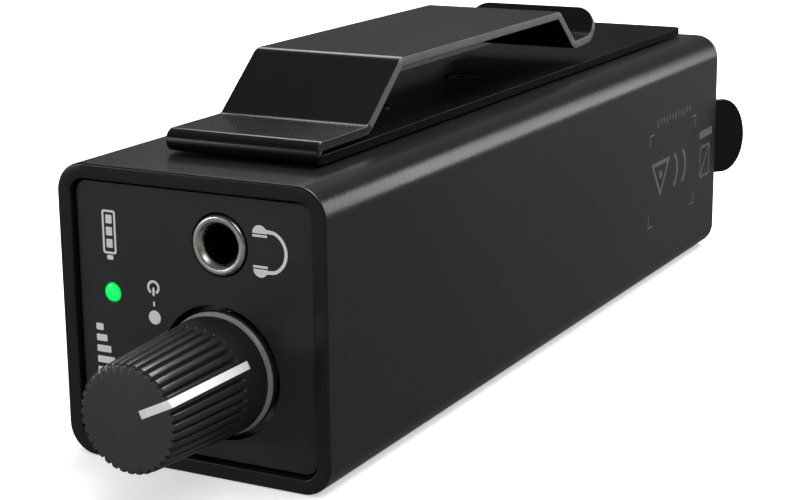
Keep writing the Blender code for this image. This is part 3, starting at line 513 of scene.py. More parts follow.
def circuit_board(name, across, up):
    """Green solder mask over copper tracks, with tinned pads. across and up name the axes that
    the board lies in."""
    finish = Finish(name)
    flat = finish.add("ShaderNodeCombineXYZ", {"X": finish.axis(across), "Y": finish.axis(up)}
                      ).outputs["Vector"]
    tracks = finish.add("ShaderNodeTexBrick",
                        {"Vector": flat, "Scale": 1.0, "Mortar Size": 0.16 * MM,
                         "Brick Width": 4.2 * MM, "Row Height": 1.3 * MM, "Mortar Smooth": 0.1},
                        offset=0.37).outputs["Fac"]
    pads = finish.remap(finish.cells(1.9 * MM, flat), 0.30, 0.26)
    weave = finish.noise(0.5 * MM, 2.0)
    mask = finish.mix(finish.remap(weave, 0.3, 0.7), (0.006, 0.075, 0.035, 1),
                      (0.010, 0.110, 0.050, 1))
    mask = finish.mix(finish.math("MULTIPLY", tracks, 0.8), mask, (0.03, 0.22, 0.09, 1))
    finish.set(Base_Color=finish.mix(pads, mask, (0.62, 0.60, 0.55, 1)), Metallic=pads,
               Roughness=finish.remap(weave, 0.3, 0.7, 0.28, 0.4))
    height = finish.math("ADD", finish.math("MULTIPLY", tracks, 0.6), pads)
    finish.set(Normal=finish.relief(height, 18 * MICRON))
    return finish.material


def cell_wrap(name, sleeve_span, pale_span):
    """Plastic-wrapped dry cell: dark sleeve, a band at the positive end, bare steel rims.
    The spans are the (start, end) of the sleeve and of its pale band along Y."""
    finish = Finish(name)
    y = finish.axis("Y")
    scuffs = finish.noise(0.5 * MM, 4.0, finish.stretched((1, 0.15, 1)))
    clouds = finish.noise(5 * MM, 3.0)
    start, end = sleeve_span
    pale_start, pale_end = pale_span
    sleeve = finish.math("MULTIPLY", finish.remap(y, start, start + 0.02 * MM),
                         finish.remap(y, end, end - 0.02 * MM))
    pale = finish.math("MULTIPLY", finish.remap(y, pale_start, pale_start + 0.05 * MM),
                       finish.remap(y, pale_end, pale_end - 0.05 * MM))
    dark = finish.mix(clouds, (0.012, 0.013, 0.016, 1), (0.022, 0.023, 0.027, 1))
    gold = finish.mix(clouds, (0.42, 0.20, 0.055, 1), (0.52, 0.27, 0.08, 1))
    wrap = finish.mix(finish.remap(scuffs, 0.6, 0.8, 0.0, 0.3), finish.mix(pale, dark, gold),
                      (0.3, 0.3, 0.3, 1))
    steel = finish.mix(scuffs, (0.36, 0.35, 0.33, 1), (0.6, 0.59, 0.57, 1))
    finish.set(Base_Color=finish.mix(sleeve, steel, wrap),
               Metallic=finish.remap(sleeve, 0.0, 1.0, 1.0, 0.25),
               Roughness=finish.remap(scuffs, 0.3, 0.75, 0.22, 0.42))
    finish.set(Normal=finish.relief(scuffs, 3 * MICRON))
    return finish.material


def studio_floor():
    """White tabletop, lit a little from below so that shadows on it stay faint."""
    finish = Finish("floor_pale")
    clouds = finish.noise(0.12, 2.0)
    finish.set(Base_Color=finish.mix(clouds, colour(0.9), colour(0.92)),
               Roughness=finish.remap(clouds, 0.3, 0.7, 0.75, 0.85), Specular_IOR_Level=0.1,
               Emission_Color=colour(1.0), Emission_Strength=0.45)
    return finish.material


# ---------------------------------------------------------------- tube and end panels

def size_of(node):
    """The low corner, high corner and middle of a CAD node's box."""
    low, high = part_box(node)
    return low, high, (low + high) / 2


def build_housing(paint):
    """The tube: eased rims front and rear, the battery window and the two screw holes."""
    low, high, _ = size_of("housing")
    corner, wall = 3.2 * MM, 1.6 * MM
    outer_ease, inner_ease = 0.22 * MM, 0.18 * MM

    def ring(inset, y):
        outline = rounded_rect((low.x + inset, low.z + inset), (high.x - inset, high.z - inset),
                               corner - inset, 12)
        return on_plane(outline, "Y", y)

    profile = []
    for end, way in ((low.y, 1), (high.y, -1)):
        rim = [(outer_ease, outer_ease, 180, 270), (wall - inner_ease, inner_ease, 270, 360)]
        points = []
        for inset, ease, start, stop in rim:
            points += [(a, end + way * b) for a, b in arc((inset, ease), ease, start, stop, 4)]
        profile += points[::way]
    tube = loft([ring(inset, y) for inset, y in profile], loop=True)

    door_low, door_high, _ = size_of("battery_door")
    gap, window_corner = 0.3 * MM, 1.5 * MM
    window = []
    for depth, grow in ((-0.1, 0.35), (0.0, 0.25), (0.15, 0.03), (0.25, 0.0), (2.1, 0.0)):
        reach = gap + grow * MM
        outline = rounded_rect((door_low.y - reach, door_low.z - reach),
                               (door_high.y + reach, door_high.z + reach),
                               window_corner + grow * MM)
        window.append(on_plane(outline, "X", low.x + depth * MM))
    holes = []
    for name in ("clip_screw_1", "clip_screw_2"):
        centre = size_of(name)[2]
        holes.append(prism(circle((centre.x, centre.y), SCREW_HOLE, 32), "Z",
                           high.z - 3 * MM, high.z + MM))
    add_piece("housing_shell", tube, paint, "housing_body", ["housing"],
              cuts=[loft(window)] + holes, angle=40)


def build_plate(name, node, paint, openings, notches=()):
    """End panel with round openings, each an (x, z, radius), and notches cut out of it."""
    low, high, middle = size_of(node)
    outline = rounded_rect((low.x, low.z), (high.x, high.z), PANEL_CORNER)
    cuts = [prism(circle((x, z), radius, 96), "Y", middle.y - 4 * MM, middle.y + 4 * MM)
            for x, z, radius in openings]
    return add_piece(name, prism(outline, "Y", low.y, high.y), paint, "housing_body", [node],
                     cuts=cuts + list(notches), bevel=PANEL_EDGE)


def build_front_plate(paint, bore):
    """Recessed panel with holes for the knob, the phones socket and the light."""
    openings = []
    for node, radius in (("knob_ring", 6.97), ("jack_nose", 3.25), ("led_lens", 1.08)):
        centre = size_of(node)[2]
        openings.append((centre.x, centre.z, radius * MM))
    plate = build_plate("front_plate", "front_panel", paint, openings)
    knob = size_of("knob_ring")[2]
    bore_reach = 7.5 * MM
    # Painted shade: the wall of the knob hole gets a near-black matt finish.
    paint_faces(plate, bore, lambda face: abs(face.normal.y) < 0.3
                and from_axis(face, knob) < bore_reach)


def build_rear_plate(paint):
    """Panel around the rear socket, notched for the latch."""
    low, high, middle = size_of("rear_panel")
    notch_start, notch_half = 10.3 * MM, 6.1 * MM
    notch = box((notch_start, low.y - MM, middle.z - notch_half),
                (high.x + MM, high.y + MM, middle.z + notch_half))
    build_plate("rear_plate", "rear_panel", paint, [(0.0, middle.z, 11.9 * MM)], [notch])


# ---------------------------------------------------------------- printing

def panel_marks():
    """The marks on the front panel, as outlines (x, z) in mm."""
    marks = []
    # battery symbol, standing on its terminal
    marks.append(frame_outlines((-10.75, 21.75), (-9.1, 26.3), 0.23, (0.3, 0.12)))
    marks.append([rounded_rect((-10.3, 21.15), (-9.55, 21.62), 0.12)])
    for index in range(3):
        top = 25.8 - 1.25 * index
        marks.append([rounded_rect((-10.3, top - 0.9), (-9.55, top), 0.1)])
    # standby symbol and the dot of the OFF position
    marks.append([ribbon(arc((-4.78, 18.85), 0.62, -60, 240, 24), 0.26)])
    marks.append([rounded_rect((-4.91, 17.95), (-4.65, 18.85), 0.12)])
    marks.append([rounded_rect((-4.88, 16.85), (-4.68, 17.4), 0.09)])
    marks.append([circle((-4.75, 15.73), 0.725, 48)])
    # rising level bars
    for index in range(6):
        low = 14.26 - 1.16 * (index + 1) + 0.44
        reach = 0.9 + 0.42 * index
        marks.append([rounded_rect((-12.1, low), (-12.1 + reach, low + 0.72), 0.12)])
    # headphones, lying on their side
    marks.append([ribbon(arc((8.75, 23.98), 2.12, -68, 68, 32), 0.34)])
    for side in (-1, 1):
        edge = 23.98 + side * 1.72
        pad = sorted((edge - side * 0.30, edge - side * 0.06))
        shell = [(7.12, edge + side * 0.06)]
        shell += arc((7.95, edge + side * 0.06), 0.83, 180, 180 - side * 180, 20)
        marks.append([shell])
        marks.append([rounded_rect((7.12, pad[0]), (8.78, pad[1]), 0.05)])
        marks.append([ribbon([(8.3, edge + side * 0.36), (9.55, edge + side * 0.24)], 0.36)])
    return marks


def side_marks():
    """The marks on the right side, at its rear end, as outlines (y, z) in mm."""
    marks = []
    arm, pen = 1.6, 0.2
    for y, z, along, up in ((29.4, 20.95, 1, -1), (29.35, 8.31, 1, 1), (47.2, 8.32, -1, 1),
                            (47.5, 20.95, -1, -1)):
        marks.append([ribbon([(y + along * arm, z), (y, z), (y, z + up * arm)], pen)])
    # neutral symbols: a triangle, two arcs and a crossed frame
    marks.append([[(30.1, 16.9), (37.3, 16.9), (33.7, 11.9)],
                  [(31.1, 16.35), (36.3, 16.35), (33.7, 12.75)]])
    marks.append([circle((33.7, 15.0), 0.55, 24)])
    for centre in (38.6, 41.9):
        marks.append([ribbon(arc((centre - 1.0, 14.6), 2.65, -58, 58, 20), 0.62)])
    marks.append(frame_outlines((49.7, 11.3), (53.9, 15.9), 0.28, (0.4, 0.2), 4))
    marks.append([ribbon([(50.1, 11.75), (53.5, 15.45)], 0.26)])
    marks.append([rounded_rect((49.3, 17.05), (54.7, 18.15), 0.1, 3)])
    # a scale of short ticks
    for index in range(12):
        y = 32.3 + 1.15 * index
        tall = 1.1 if index % 3 == 0 else 0.75
        marks.append([rounded_rect((y - 0.16, 22.75 - tall), (y + 0.16, 22.75), 0.05, 2)])
    return marks


def cover_marks():
    """The marks on the battery cover, as outlines (y, z) in mm: an arrow to the end that lifts,
    and the two cells with their signs."""
    marks = [[[(12.9, 15.5), (15.5, 17.6), (15.5, 13.4)]]]
    middle, button, sign_place = -8.0, 14.4, 10.5
    for z, way in ((11.2, -1), (19.8, 1)):
        marks.append(frame_outlines((-22, z - 2.4), (6, z + 2.4), 0.3, (0.5, 0.25), 4))
        end = middle + way * button
        nub = sorted((end, end + way * 0.9))
        marks.append([rounded_rect((nub[0], z - 0.9), (nub[1], z + 0.9), 0.2, 3)])
        plus, minus = middle + way * sign_place, middle - way * sign_place
        marks.append([rounded_rect((plus - 1.0, z - 0.14), (plus + 1.0, z + 0.14), 0.1, 3)])
        for side in (-1, 1):
            stub = sorted((z + side * 0.2, z + side * 1.0))
            marks.append([rounded_rect((plus - 0.14, stub[0]), (plus + 0.14, stub[1]), 0.06, 3)])
        marks.append([rounded_rect((minus - 1.0, z - 0.14), (minus + 1.0, z + 0.14), 0.1, 3)])
    return marks


def printed(marks, axis, surface, way):
    """Thin slabs of ink on a surface that faces way (1 or -1) along an axis. A mark is an outline
    in mm, which a second outline may leave open in the middle. Neighbours differ a little in
    height, so that no two faces coincide where marks overlap."""
    slabs = []
    for index, outlines in enumerate(marks):
        low = surface + way * 0.5 * MICRON
        high = surface + way * (INK - 0.8 * MICRON * (index % 4))
        outlines = [[(a * MM, b * MM) for a, b in outline] for outline in outlines]
        rings = [on_plane(outlines[0], axis, low), on_plane(outlines[0], axis, high)]
        for inner in outlines[1:]:
            rings += [on_plane(inner, axis, high), on_plane(inner, axis, low)]
        slabs.append(loft(rings, loop=len(outlines) > 1))
    return joined(*slabs)


def build_printing(white, grey):
    """The prints on the front panel and on the right side."""
    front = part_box("front_panel")[0].y
    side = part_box("housing")[1].x
    add_piece("panel_print", printed(panel_marks(), "Y", front, -1), white, "housing_body")
    add_piece("side_print", printed(side_marks(), "X", side, 1), grey, "housing_body")


# ---------------------------------------------------------------- volume knob

def knob_section(centre, radius, groove, y):
    """One cross-section of the knob: round ribs between rounded grooves. The flute that would
    lie under the pointer is filled."""
    samples = 16
    half_groove = 0.21
    rib_swell = 0.02 * MM
    pitch = 2 * math.pi / FLUTES
    points = []
    for index in range(FLUTES * samples):
        turn = index / samples
        across = abs(turn - round(turn))
        depth = 0.0
        if across < half_groove and round(turn) % FLUTES:
            depth = groove * (0.5 + 0.5 * math.cos(math.pi * across / half_groove)) ** 0.6
        swell = rib_swell * math.cos(2 * math.pi * (turn - 0.5)) if groove else 0.0
        reach = radius - depth + swell - rib_swell
        angle = POINTER_ANGLE + turn * pitch
        points.append(Vector((centre.x + reach * math.cos(angle), y,
                              centre.z + reach * math.sin(angle))))
    return points


def cap_drop(radius):
    """How far the domed cap has fallen back at a radius."""
    return CAP_DOME * (radius / CAP_DOME_RADIUS) ** 2


def build_knob_shell(plastic, cap_plastic):
    """Fluted grip with a domed cap and a smooth skirt, bored for the shaft."""
    low, high, _ = size_of("knob")
    centre = size_of("knob_ring")[2]
    cap = low.y + POINTER_PROUD
    brim = cap + CAP_DOME
    stretches = (
        # start, then (distance from the start, radius, groove depth) in mm
        (brim, ((0.02, 5.16, 0.16), (0.07, 5.28, 0.3), (0.14, 5.36, 0.38), (0.27, 5.4, 0.4))),
        (cap, ((3, 5.56, 0.4), (7, 5.77, 0.4))),
        (low.y + FLUTES_REACH, ((-0.6, 5.95, 0.4), (-0.35, 5.965, 0.36), (-0.18, 5.97, 0.24),
                                (-0.06, 5.98, 0.1), (0, 5.985, 0), (0.15, 5.99, 0))),
        (high.y, ((-0.4, 6.11, 0), (-0.12, 6.12, 0), (-0.03, 6.08, 0), (0, 6, 0), (0, 5.6, 0))),
    )
    rings = [knob_section(centre, radius * MM, 0.0, cap + cap_drop(radius * MM))
             for radius in (0.5, 1.5, 2.5, 3.5, 4.3, 4.95)]
    for start, sections in stretches:
        rings += [knob_section(centre, radius * MM, groove * MM, start + along * MM)
                  for along, radius, groove in sections]
    bore = prism(circle((centre.x, centre.z), 3.3 * MM, 48), "Y", high.y - 11 * MM, high.y + MM)
    shell = add_piece("knob_shell", loft(rings), plastic, "volume_knob", ["knob"], cuts=[bore],
                      angle=50)
    paint_faces(shell, cap_plastic, lambda face: face.normal.y < -0.9
                and face.center.y < brim + 0.05 * MM)


def build_pointer(white):
    """White strip inlaid in the knob, from its cap over the brim and along its flank."""
    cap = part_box("knob")[0].y + POINTER_PROUD
    centre = size_of("knob_ring")[2]
    brim = cap + CAP_DOME
    edge = 0.25 * MM
    half = 0.41 * MM
    sunk = 0.3 * MM
    flank_end = 5.98 * MM
    path = [(radius * MM, cap + cap_drop(radius * MM), -90) for radius in (1.8, 2.6, 3.4, 4.2)]
    turn = arc((CAP_RADIUS - edge, brim + edge), edge, -90, 2, 6)
    path += [(radius, y, -90 + 15.3 * step) for step, (radius, y) in enumerate(turn)]
    slope = (flank_end - CAP_RADIUS) / (FLUTES_REACH - POINTER_PROUD)
    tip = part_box("knob_pointer")[1].y
    path.append((CAP_RADIUS + slope * (tip - cap), tip, -math.degrees(math.atan(slope))))

    across = Vector((math.cos(POINTER_ANGLE), 0, math.sin(POINTER_ANGLE)))
    aside = Vector((-math.sin(POINTER_ANGLE), 0, math.cos(POINTER_ANGLE))) * half
    back = Vector((0, 1, 0))
    rings = []
    for radius, y, angle in path:
        normal = across * math.cos(math.radians(angle)) + back * math.sin(math.radians(angle))
        point = Vector((centre.x, 0, centre.z)) + across * radius + back * y
        top, foot = point + normal * POINTER_PROUD, point - normal * sunk
        rings.append([top - aside, top + aside, foot + aside, foot - aside])
    add_piece("pointer_line", loft(rings), white, "volume_knob", ["knob_pointer"],
              bevel=0.03 * MM)


def build_collar(gloss, collar_edge_highlight):
    """Glossy ring behind the knob's skirt, its rounded front edge painted light grey as a painted
    highlight.
    """
    low, high, centre = size_of("knob_ring")
    outer, inner = (high.x - low.x) / 2, 5.1 * MM
    rounding = ((0.37, 0.0), (0.32, 0.02), (0.2, 0.14), (0.09, 0.28), (0.02, 0.42), (0.0, 0.55))
    profile = [(inner, low.y)]
    profile += [(outer - inset * MM, low.y + depth * MM) for inset, depth in rounding]
    profile += [(outer, high.y), (inner, high.y)]
    collar = add_piece("knob_collar", turned(profile, "Y", (centre.x, centre.z)), gloss,
                       "volume_knob", ["knob_ring"], angle=50)
    paint_faces(collar, collar_edge_highlight, lambda face: -0.95 < face.normal.y < -0.3)


# ---------------------------------------------------------------- phones socket and light

def build_phones_ring(nickel, matt):
    """The socket's polished nose, with painted shade (a near-black matt finish) on the wall of its
    bore.
    """
    low, high, centre = size_of("jack_nose")
    radius, bore, ease = (high.x - low.x) / 2, 1.98 * MM, 0.3 * MM
    profile = in_mm([(1.98, 0.75), (2.0, 0.6), (2.32, 0.1), (2.42, 0.02), (2.48, 0)], low.y)
    profile += arc((radius - ease, low.y + ease), ease, 270, 360, 8)
    profile += [(radius, high.y), (bore, high.y)]
    ring = add_piece("jack_ring", turned(profile, "Y", (centre.x, centre.z), 128), nickel,
                     "housing_body", ["jack_nose"], angle=35)
    paint_faces(ring, matt, lambda face: from_axis(face, centre) < 1.03 * bore)


def build_light(green):
    """Domed lens of the power light."""
    low, high, centre = size_of("led_lens")
    radius = (high.x - low.x) / 2
    profile = in_mm([(0, 0), (0.45, 0.015), (0.8, 0.06), (0.94, 0.13)], low.y)
    profile += [(radius, low.y + 0.28 * MM), (radius, high.y), (0.0, high.y)]
    add_piece("led_dome", turned(profile, "Y", (centre.x, centre.z), 64), green,
              "housing_body", ["led_lens"], angle=50)


# ---------------------------------------------------------------- belt clip

def sheet_end(tip, inward, half, corner):
    """Stations (point, half width, thickness) from the tip of the sheet inwards, with its
    corners and its edge rounded."""
    ease = 0.12 * MM
    distances = [0.0, 0.3 * ease, ease]
    distances += [corner * (1 - math.cos(math.radians(a))) for a in range(30, 91, 10)]
    stations = []
    for distance in distances:
        reach = math.sqrt(corner ** 2 - (corner - distance) ** 2)
        thin = 2 * (ease - math.sqrt(ease ** 2 - max(ease - distance, 0.0) ** 2))
        stations.append((tip + inward * distance, half - corner + reach, CLIP_SHEET - thin))
    return stations


def clip_stations():
    """The folded sheet's centre line in (y, z), from the tail of its plate round to its lip."""
    base_low, base_high, _ = size_of("clip_base")
    half = (base_high.x - base_low.x) / 2
    plate = base_low.z + CLIP_SHEET / 2
    fold = (base_low.y + CLIP_FOLD + CLIP_SHEET / 2, plate + CLIP_FOLD)
    leaf = [(fold[0], fold[1] + CLIP_FOLD)] + [(y * MM, z * MM) for y, z in CLIP_LEAF]
    curl = [Vector(point) for point in arc(fold, CLIP_FOLD, 270, 90, 16)]
    line = curl + fillet(leaf, CLIP_BEND)[1:-1]

    tail = sheet_end(Vector((base_high.y, plate)), Vector((-1, 0)), half, TAIL_CORNER)
    lip_run = (Vector(leaf[-2]) - Vector(leaf[-1])).normalized()
    lip = sheet_end(Vector(leaf[-1]), lip_run, half, LIP_CORNER)
    return tail + [(point, half, CLIP_SHEET) for point in line] + lip[::-1]


def build_clip(steel, cut_edge, plate_painted_shade):
    """Clip folded from one strip, with two sinks in its plate."""
    base_low, _, middle = size_of("clip_base")
    stations = clip_stations()
    points = [point for point, _, _ in stations]
    rings = []
    for index, (point, half, thickness) in enumerate(stations):
        before = points[max(index - 1, 0)]
        after = points[min(index + 1, len(points) - 1)]
        run = (after - before).normalized()
        section = rounded_rect((-half, -thickness / 2), (half, thickness / 2), 0.11 * MM, 3)
        rings.append([Vector((middle.x + a, point.x - run.y * b, point.y + run.x * b))
                      for a, b in section])
    sheet = CLIP_SHEET / MM
    sinks = []
    for name in ("clip_screw_1", "clip_screw_2"):
        centre = size_of(name)[2]
        profile = in_mm([(0, -1), (1.3, -1), (1.3, 0), (2.3, sheet - 0.1), (2.5, sheet),
                         (2.5, sheet + 0.35), (0, sheet + 0.35)], base_low.z)
        sinks.append(turned(profile, "Z", (centre.x, centre.y), 48))
    clip = add_piece("belt_clip", loft(rings), steel, None, ["clip_base", "clip_leaf"],
                     cuts=sinks, angle=40)

    def side(face):
        return abs(face.normal.x) > 0.8

    leaf_start = base_low.z + 2.7 * MM
    plate_top = base_low.z + 1.02 * CLIP_SHEET
    paint_faces(clip, cut_edge, lambda face: side(face) and face.center.z > leaf_start)
    # Painted shade: the plate's top and sides, under the leaf, get a darker and almost unreflective
    # copy of the clip's finish.
    paint_faces(clip, plate_painted_shade, lambda face: face.center.z < plate_top
                and (side(face) or face.normal.z > 0.8))
    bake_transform(clip)


def build_clip_screws(steel):
    """Countersunk screws with a hexagon socket and a ringed shank."""
    for index in (1, 2):
        low, high, centre = size_of(f"clip_screw_{index}")
        head = (high.x - low.x) / 2
        shank = 1.0 * MM
        profile = [(0, low.z), (0.8 * MM, low.z), (shank, low.z + 0.2 * MM)]
        turn = low.z + 0.35 * MM
        while turn < high.z - 1.4 * MM:
            profile += [(shank, turn), (shank - 0.16 * MM, turn + 0.12 * MM)]
            turn += 0.24 * MM
        profile += [(shank, high.z - 1.0 * MM), (head - 0.05 * MM, high.z - 0.06 * MM),
                    (head - 0.12 * MM, high.z), (0, high.z)]
        socket = prism(circle((centre.x, centre.y), 0.85 * MM, 6), "Z", high.z - 0.7 * MM,
                       high.z + MM)
        add_piece(f"clip_bolt_{index}", turned(profile, "Z", (centre.x, centre.y), 48), steel,
                  "housing_body", [f"clip_screw_{index}"], cuts=[socket], angle=35)


# ---------------------------------------------------------------- rear socket and latch

def build_socket_collar(plastic):
    """The rear socket's round shell, with ears for the latch pin and room for the latch."""
    low, high, middle = size_of("socket_shell")
    radius, bore = 11.6, 9.8
    profile = in_mm([(bore, 0), (radius, 0)], low.y)
    profile += in_mm([(radius, -0.25), (radius - 0.08, -0.07), (radius - 0.25, 0),
                      (bore + 0.45, 0), (bore + 0.1, -0.15), (bore, -0.45)], high.y)
    ears = [block((8.4, 13.6), (48.4, 51.6), (z, z + 1.5), middle.z) for z in (6.4, -7.9)]
    arm_room = block((10.6, 14.5), (43, 58), (-6.1, 6.1), middle.z)
    hook_room = block((7.5, 12), (43.4, 46.4), (-2.6, 2.6), middle.z)
    pivot = size_of("latch_pin")[2]
    pin_hole = prism(circle((pivot.x, pivot.y), PIVOT_HOLE, 32), "Z", middle.z - 9 * MM,
                     middle.z + 9 * MM)
    add_piece("socket_collar", turned(profile, "Y", (0, middle.z), 128), plastic,
              "housing_body", ["socket_shell"], joins=ears, cuts=[arm_room, hook_room, pin_hole],
              angle=35)


def build_pin_sleeve(index, brass):
    """One slit contact sleeve of the rear socket."""
    low, high, pin = size_of(f"pin_contact_{index}")
    profile = in_mm([(0.6, 0), (1.0, 0)], low.y)
    profile += in_mm([(1.0, -0.2), (0.9, 0), (0.72, 0), (0.6, -0.15)], high.y)
    slit = box((pin.x - 0.12 * MM, high.y - 6 * MM, pin.z - 2 * MM),
               (pin.x + 0.12 * MM, high.y + MM, pin.z + 2 * MM))
    add_piece(f"pin_sleeve_{index}", turned(profile, "Y", (pin.x, pin.z), 48), brass,
              "housing_body", [f"pin_contact_{index}"], cuts=[slit], angle=35)


def build_socket_core(plastic):
    """The rear socket's insert: a plug hole in the middle and three pin holes around it."""
    low, high, middle = size_of("socket_insert")
    plug, radius, flange = 3.25, 7.7, 9.4
    profile = in_mm([(plug, 0), (flange, 0), (flange, 2.2), (radius, 2.2)], low.y)
    profile += in_mm([(radius, -0.4), (radius - 0.12, -0.12), (radius - 0.4, 0),
                      (plug + 0.95, 0), (plug + 0.9, -0.22), (plug + 0.55, -0.25),
                      (plug + 0.2, -0.38), (plug, -0.7)], high.y)
    holes = []
    for index in PIN_NUMBERS:
        pin = size_of(f"pin_contact_{index}")[2]
        hole = in_mm([(0, -1), (1.3, -1)], low.y)
        hole += in_mm([(1.3, -0.3), (1.6, 0), (1.6, 1), (0, 1)], high.y)
        holes.append(turned(hole, "Y", (pin.x, pin.z), 48))
    add_piece("socket_core", turned(profile, "Y", (0, middle.z), 128), plastic,
              "housing_body", ["socket_insert"], cuts=holes, angle=35)


def latch_tab():
    """The thick rounded tab that a thumb presses, lying along X from the origin."""
    half = 5.42 * MM
    length = 7.45 * MM
    bow = 3.4 * MM
    face = 0.5 * MM
    ease = 0.3 * MM
    step = 0.09 * MM
    tuck = 0.2 * MM
    curve = arc((0, 0), 1.0, -90, 90, 32)
    rings = []
    for level, inset in ((-face, ease), (step - face, step), (ease - face, 0.0),
                         (face - ease, 0.0), (face - step, step), (face, ease)):
        outline = [(-tuck, -half + inset)]
        outline += [(length - bow + (bow - inset) * x, (half - inset) * z) for x, z in curve]
        outline += [(-tuck, half - inset)]
        rings.append(on_plane(outline, "Y", level))
    return loft(rings)


def build_latch(plastic):
    """Arm, hook, pivot knuckle and thumb tab in one piece."""
    pivot = size_of("latch_pin")[2]
    # the arm with its hook at the front end, as (x, y) in mm from the pivot
    arm = [(-2.5, -5.8), (0.85, -5.8), (0.85, 7.1), (-0.15, 7.1), (-0.15, -4.5), (-2.5, -4.5)]
    arm = [(pivot.x + x * MM, pivot.y + y * MM) for x, y in arm]
    plate = rounded_rect((pivot.x - 0.15 * MM, pivot.y - 3.0 * MM),
                         (pivot.x + 0.85 * MM, pivot.y + 6.9 * MM), 0.2 * MM, 3)

    def upright(outline, half):
        return prism(outline, "Z", pivot.z - half * MM, pivot.z + half * MM)

    tab = latch_tab()
    place = Matrix.Translation((pivot.x + 0.35 * MM, pivot.y + 6.7 * MM, pivot.z + 0.38 * MM))
    tab.transform(place @ Matrix.Rotation(math.pi / 4, 4, "Z"))
    centre = (pivot.x, pivot.y)
    joins = [upright(plate, 5.4), upright(circle(centre, 1.3 * MM, 48), 5.4), tab]
    add_piece("latch_paddle", upright(arm, 2.1), plastic, "latch", ["latch_lever"], joins=joins,
              cuts=[upright(circle(centre, PIVOT_HOLE, 32), 8)], angle=35)


# ---------------------------------------------------------------- battery bay

def build_battery_cover(plastic, ink):
    """The lift-off cover: a softened plate with a thumb scoop, ridges in it, its rib and print.
    Its outer face lies a little inside the CAD box, to leave room for the print."""
    low, high, middle = size_of("battery_door")
    outer = low.x + 1.5 * INK
    rings = []
    for depth, inset in ((0.0, 0.22), (0.04, 0.1), (0.1, 0.03), (0.22, 0.0), (1.3, 0.0)):
        inset *= MM
        outline = rounded_rect((low.y + inset, low.z + inset), (high.y - inset, high.z - inset),
                               1.2 * MM - inset)
        rings.append(on_plane(outline, "X", outer + depth * MM))
    rib_half = 1.1 * MM
    rib = box((outer + 1.0 * MM, middle.y - 24 * MM, middle.z - rib_half),
              (high.x, middle.y + 18 * MM, middle.z + rib_half))
    scoop_y = high.y - 6.7 * MM
    scoop_width, scoop_height, scoop_corner = 8.6, 11.0, 2.0
    scoop = []
    for depth, grow in ((-0.2, 0.75), (0.0, 0.5), (0.12, 0.2), (0.3, 0.02), (0.42, -0.25),
                        (0.45, -0.6)):
        ends = around((scoop_y, middle.z), (scoop_width + 2 * grow) * MM,
                      (scoop_height + 2 * grow) * MM)
        outline = rounded_rect(*ends, (scoop_corner + grow) * MM)
        scoop.append(on_plane(outline, "X", outer + depth * MM))
    ridge_pitch, ridge_half, ridge_reach = 1.6 * MM, 0.3 * MM, 4.4 * MM
    ridges = []
    for place in range(-2, 3):
        y = scoop_y + place * ridge_pitch
        outline = rounded_rect((outer + 0.12 * MM, y - ridge_half),
                               (outer + 0.9 * MM, y + ridge_half), 0.26 * MM, 4)
        ridges.append(prism(outline, "Z", middle.z - ridge_reach, middle.z + ridge_reach))
    add_piece("battery_cover", loft(rings), plastic, "battery_cover", ["battery_door"],
              joins=[rib], cuts=[loft(scoop)], angle=30)
    add_piece("battery_cover_ridges", joined(*ridges), plastic, "battery_cover",
              angle=30)
    add_piece("cover_print", printed(cover_marks(), "X", outer, -1), ink, "battery_cover")


def build_cells():
    """Two dry cells that lie opposite ways round, each turned from its base to its button."""
    radius = 5.2
    shape = [(0, 0), (3.9, 0), (4.0, 0.05), (4.0, 0.25), (4.7, 0.25), (5.0, 0.3), (radius, 0.55),
             (radius, 43.0), (5.15, 43.25), (4.9, 43.45), (4.6, 43.48), (4.4, 43.3), (2.4, 43.3),
             (2.2, 43.45), (1.9, 43.5), (1.9, 44.3), (1.75, 44.5), (0, 44.5)]
    for index, way in ((1, 1), (2, -1)):
        low, high, centre = size_of(f"battery_{index}")
        base, button = (low.y, high.y) if way > 0 else (high.y, low.y)
        sleeve_end = button - way * 1.4 * MM
        wrap = cell_wrap(f"cell_{index}_wrap", sorted((base + way * 0.6 * MM, sleeve_end)),
                         sorted((button - way * 12 * MM, sleeve_end)))
        fit = (high.x - low.x) / 2 / (radius * MM)
        profile = in_mm([(wide * fit, along) for wide, along in shape], base, way)
        add_piece(f"cell_{index}", turned(profile, "Y", (centre.x, centre.z), 72), wrap,
                  "housing_body", [f"battery_{index}"], angle=35)


def build_springs(steel):
    """Conical coils of round wire, from the contact plates to the flat ends of the cells."""
    wire, wide_end, taper = 0.25 * MM, 3.4 * MM, 1.9 * MM
    turns, per_turn, around_wire = 3, 40, 10
    count = turns * per_turn
    for index, way in ((1, 1), (2, -1)):
        low, high, centre = size_of(f"contact_spring_{index}")
        start = (low.y if way > 0 else high.y) + way * wire
        height = high.y - low.y - 2 * wire
        rings = []
        for step in range(count + 1):
            part = step / count
            angle = 2 * math.pi * step / per_turn
            out = Vector((math.cos(angle), 0, math.sin(angle)))
            middle = Vector((centre.x, start + way * height * part, centre.z))
            middle += out * (wide_end - taper * part)
            rings.append([middle + out * a + Vector((0, b, 0))
                          for a, b in circle((0, 0), wire, around_wire)])
        add_piece(f"coil_spring_{index}", loft(rings), steel, "housing_body",
                  [f"contact_spring_{index}"], angle=60)


# ---------------------------------------------------------------- parts kept from the CAD

def dress_node(node, material):
    """Gives a CAD node its finish and eases its edges."""
    obj = bpy.data.objects[node]
    weld = obj.modifiers.new("weld", "WELD")
    weld.merge_threshold = 1e-6
    soften(obj, CAD_EDGE, 30)
    obj.data.materials.clear()
    obj.data.materials.append(material)


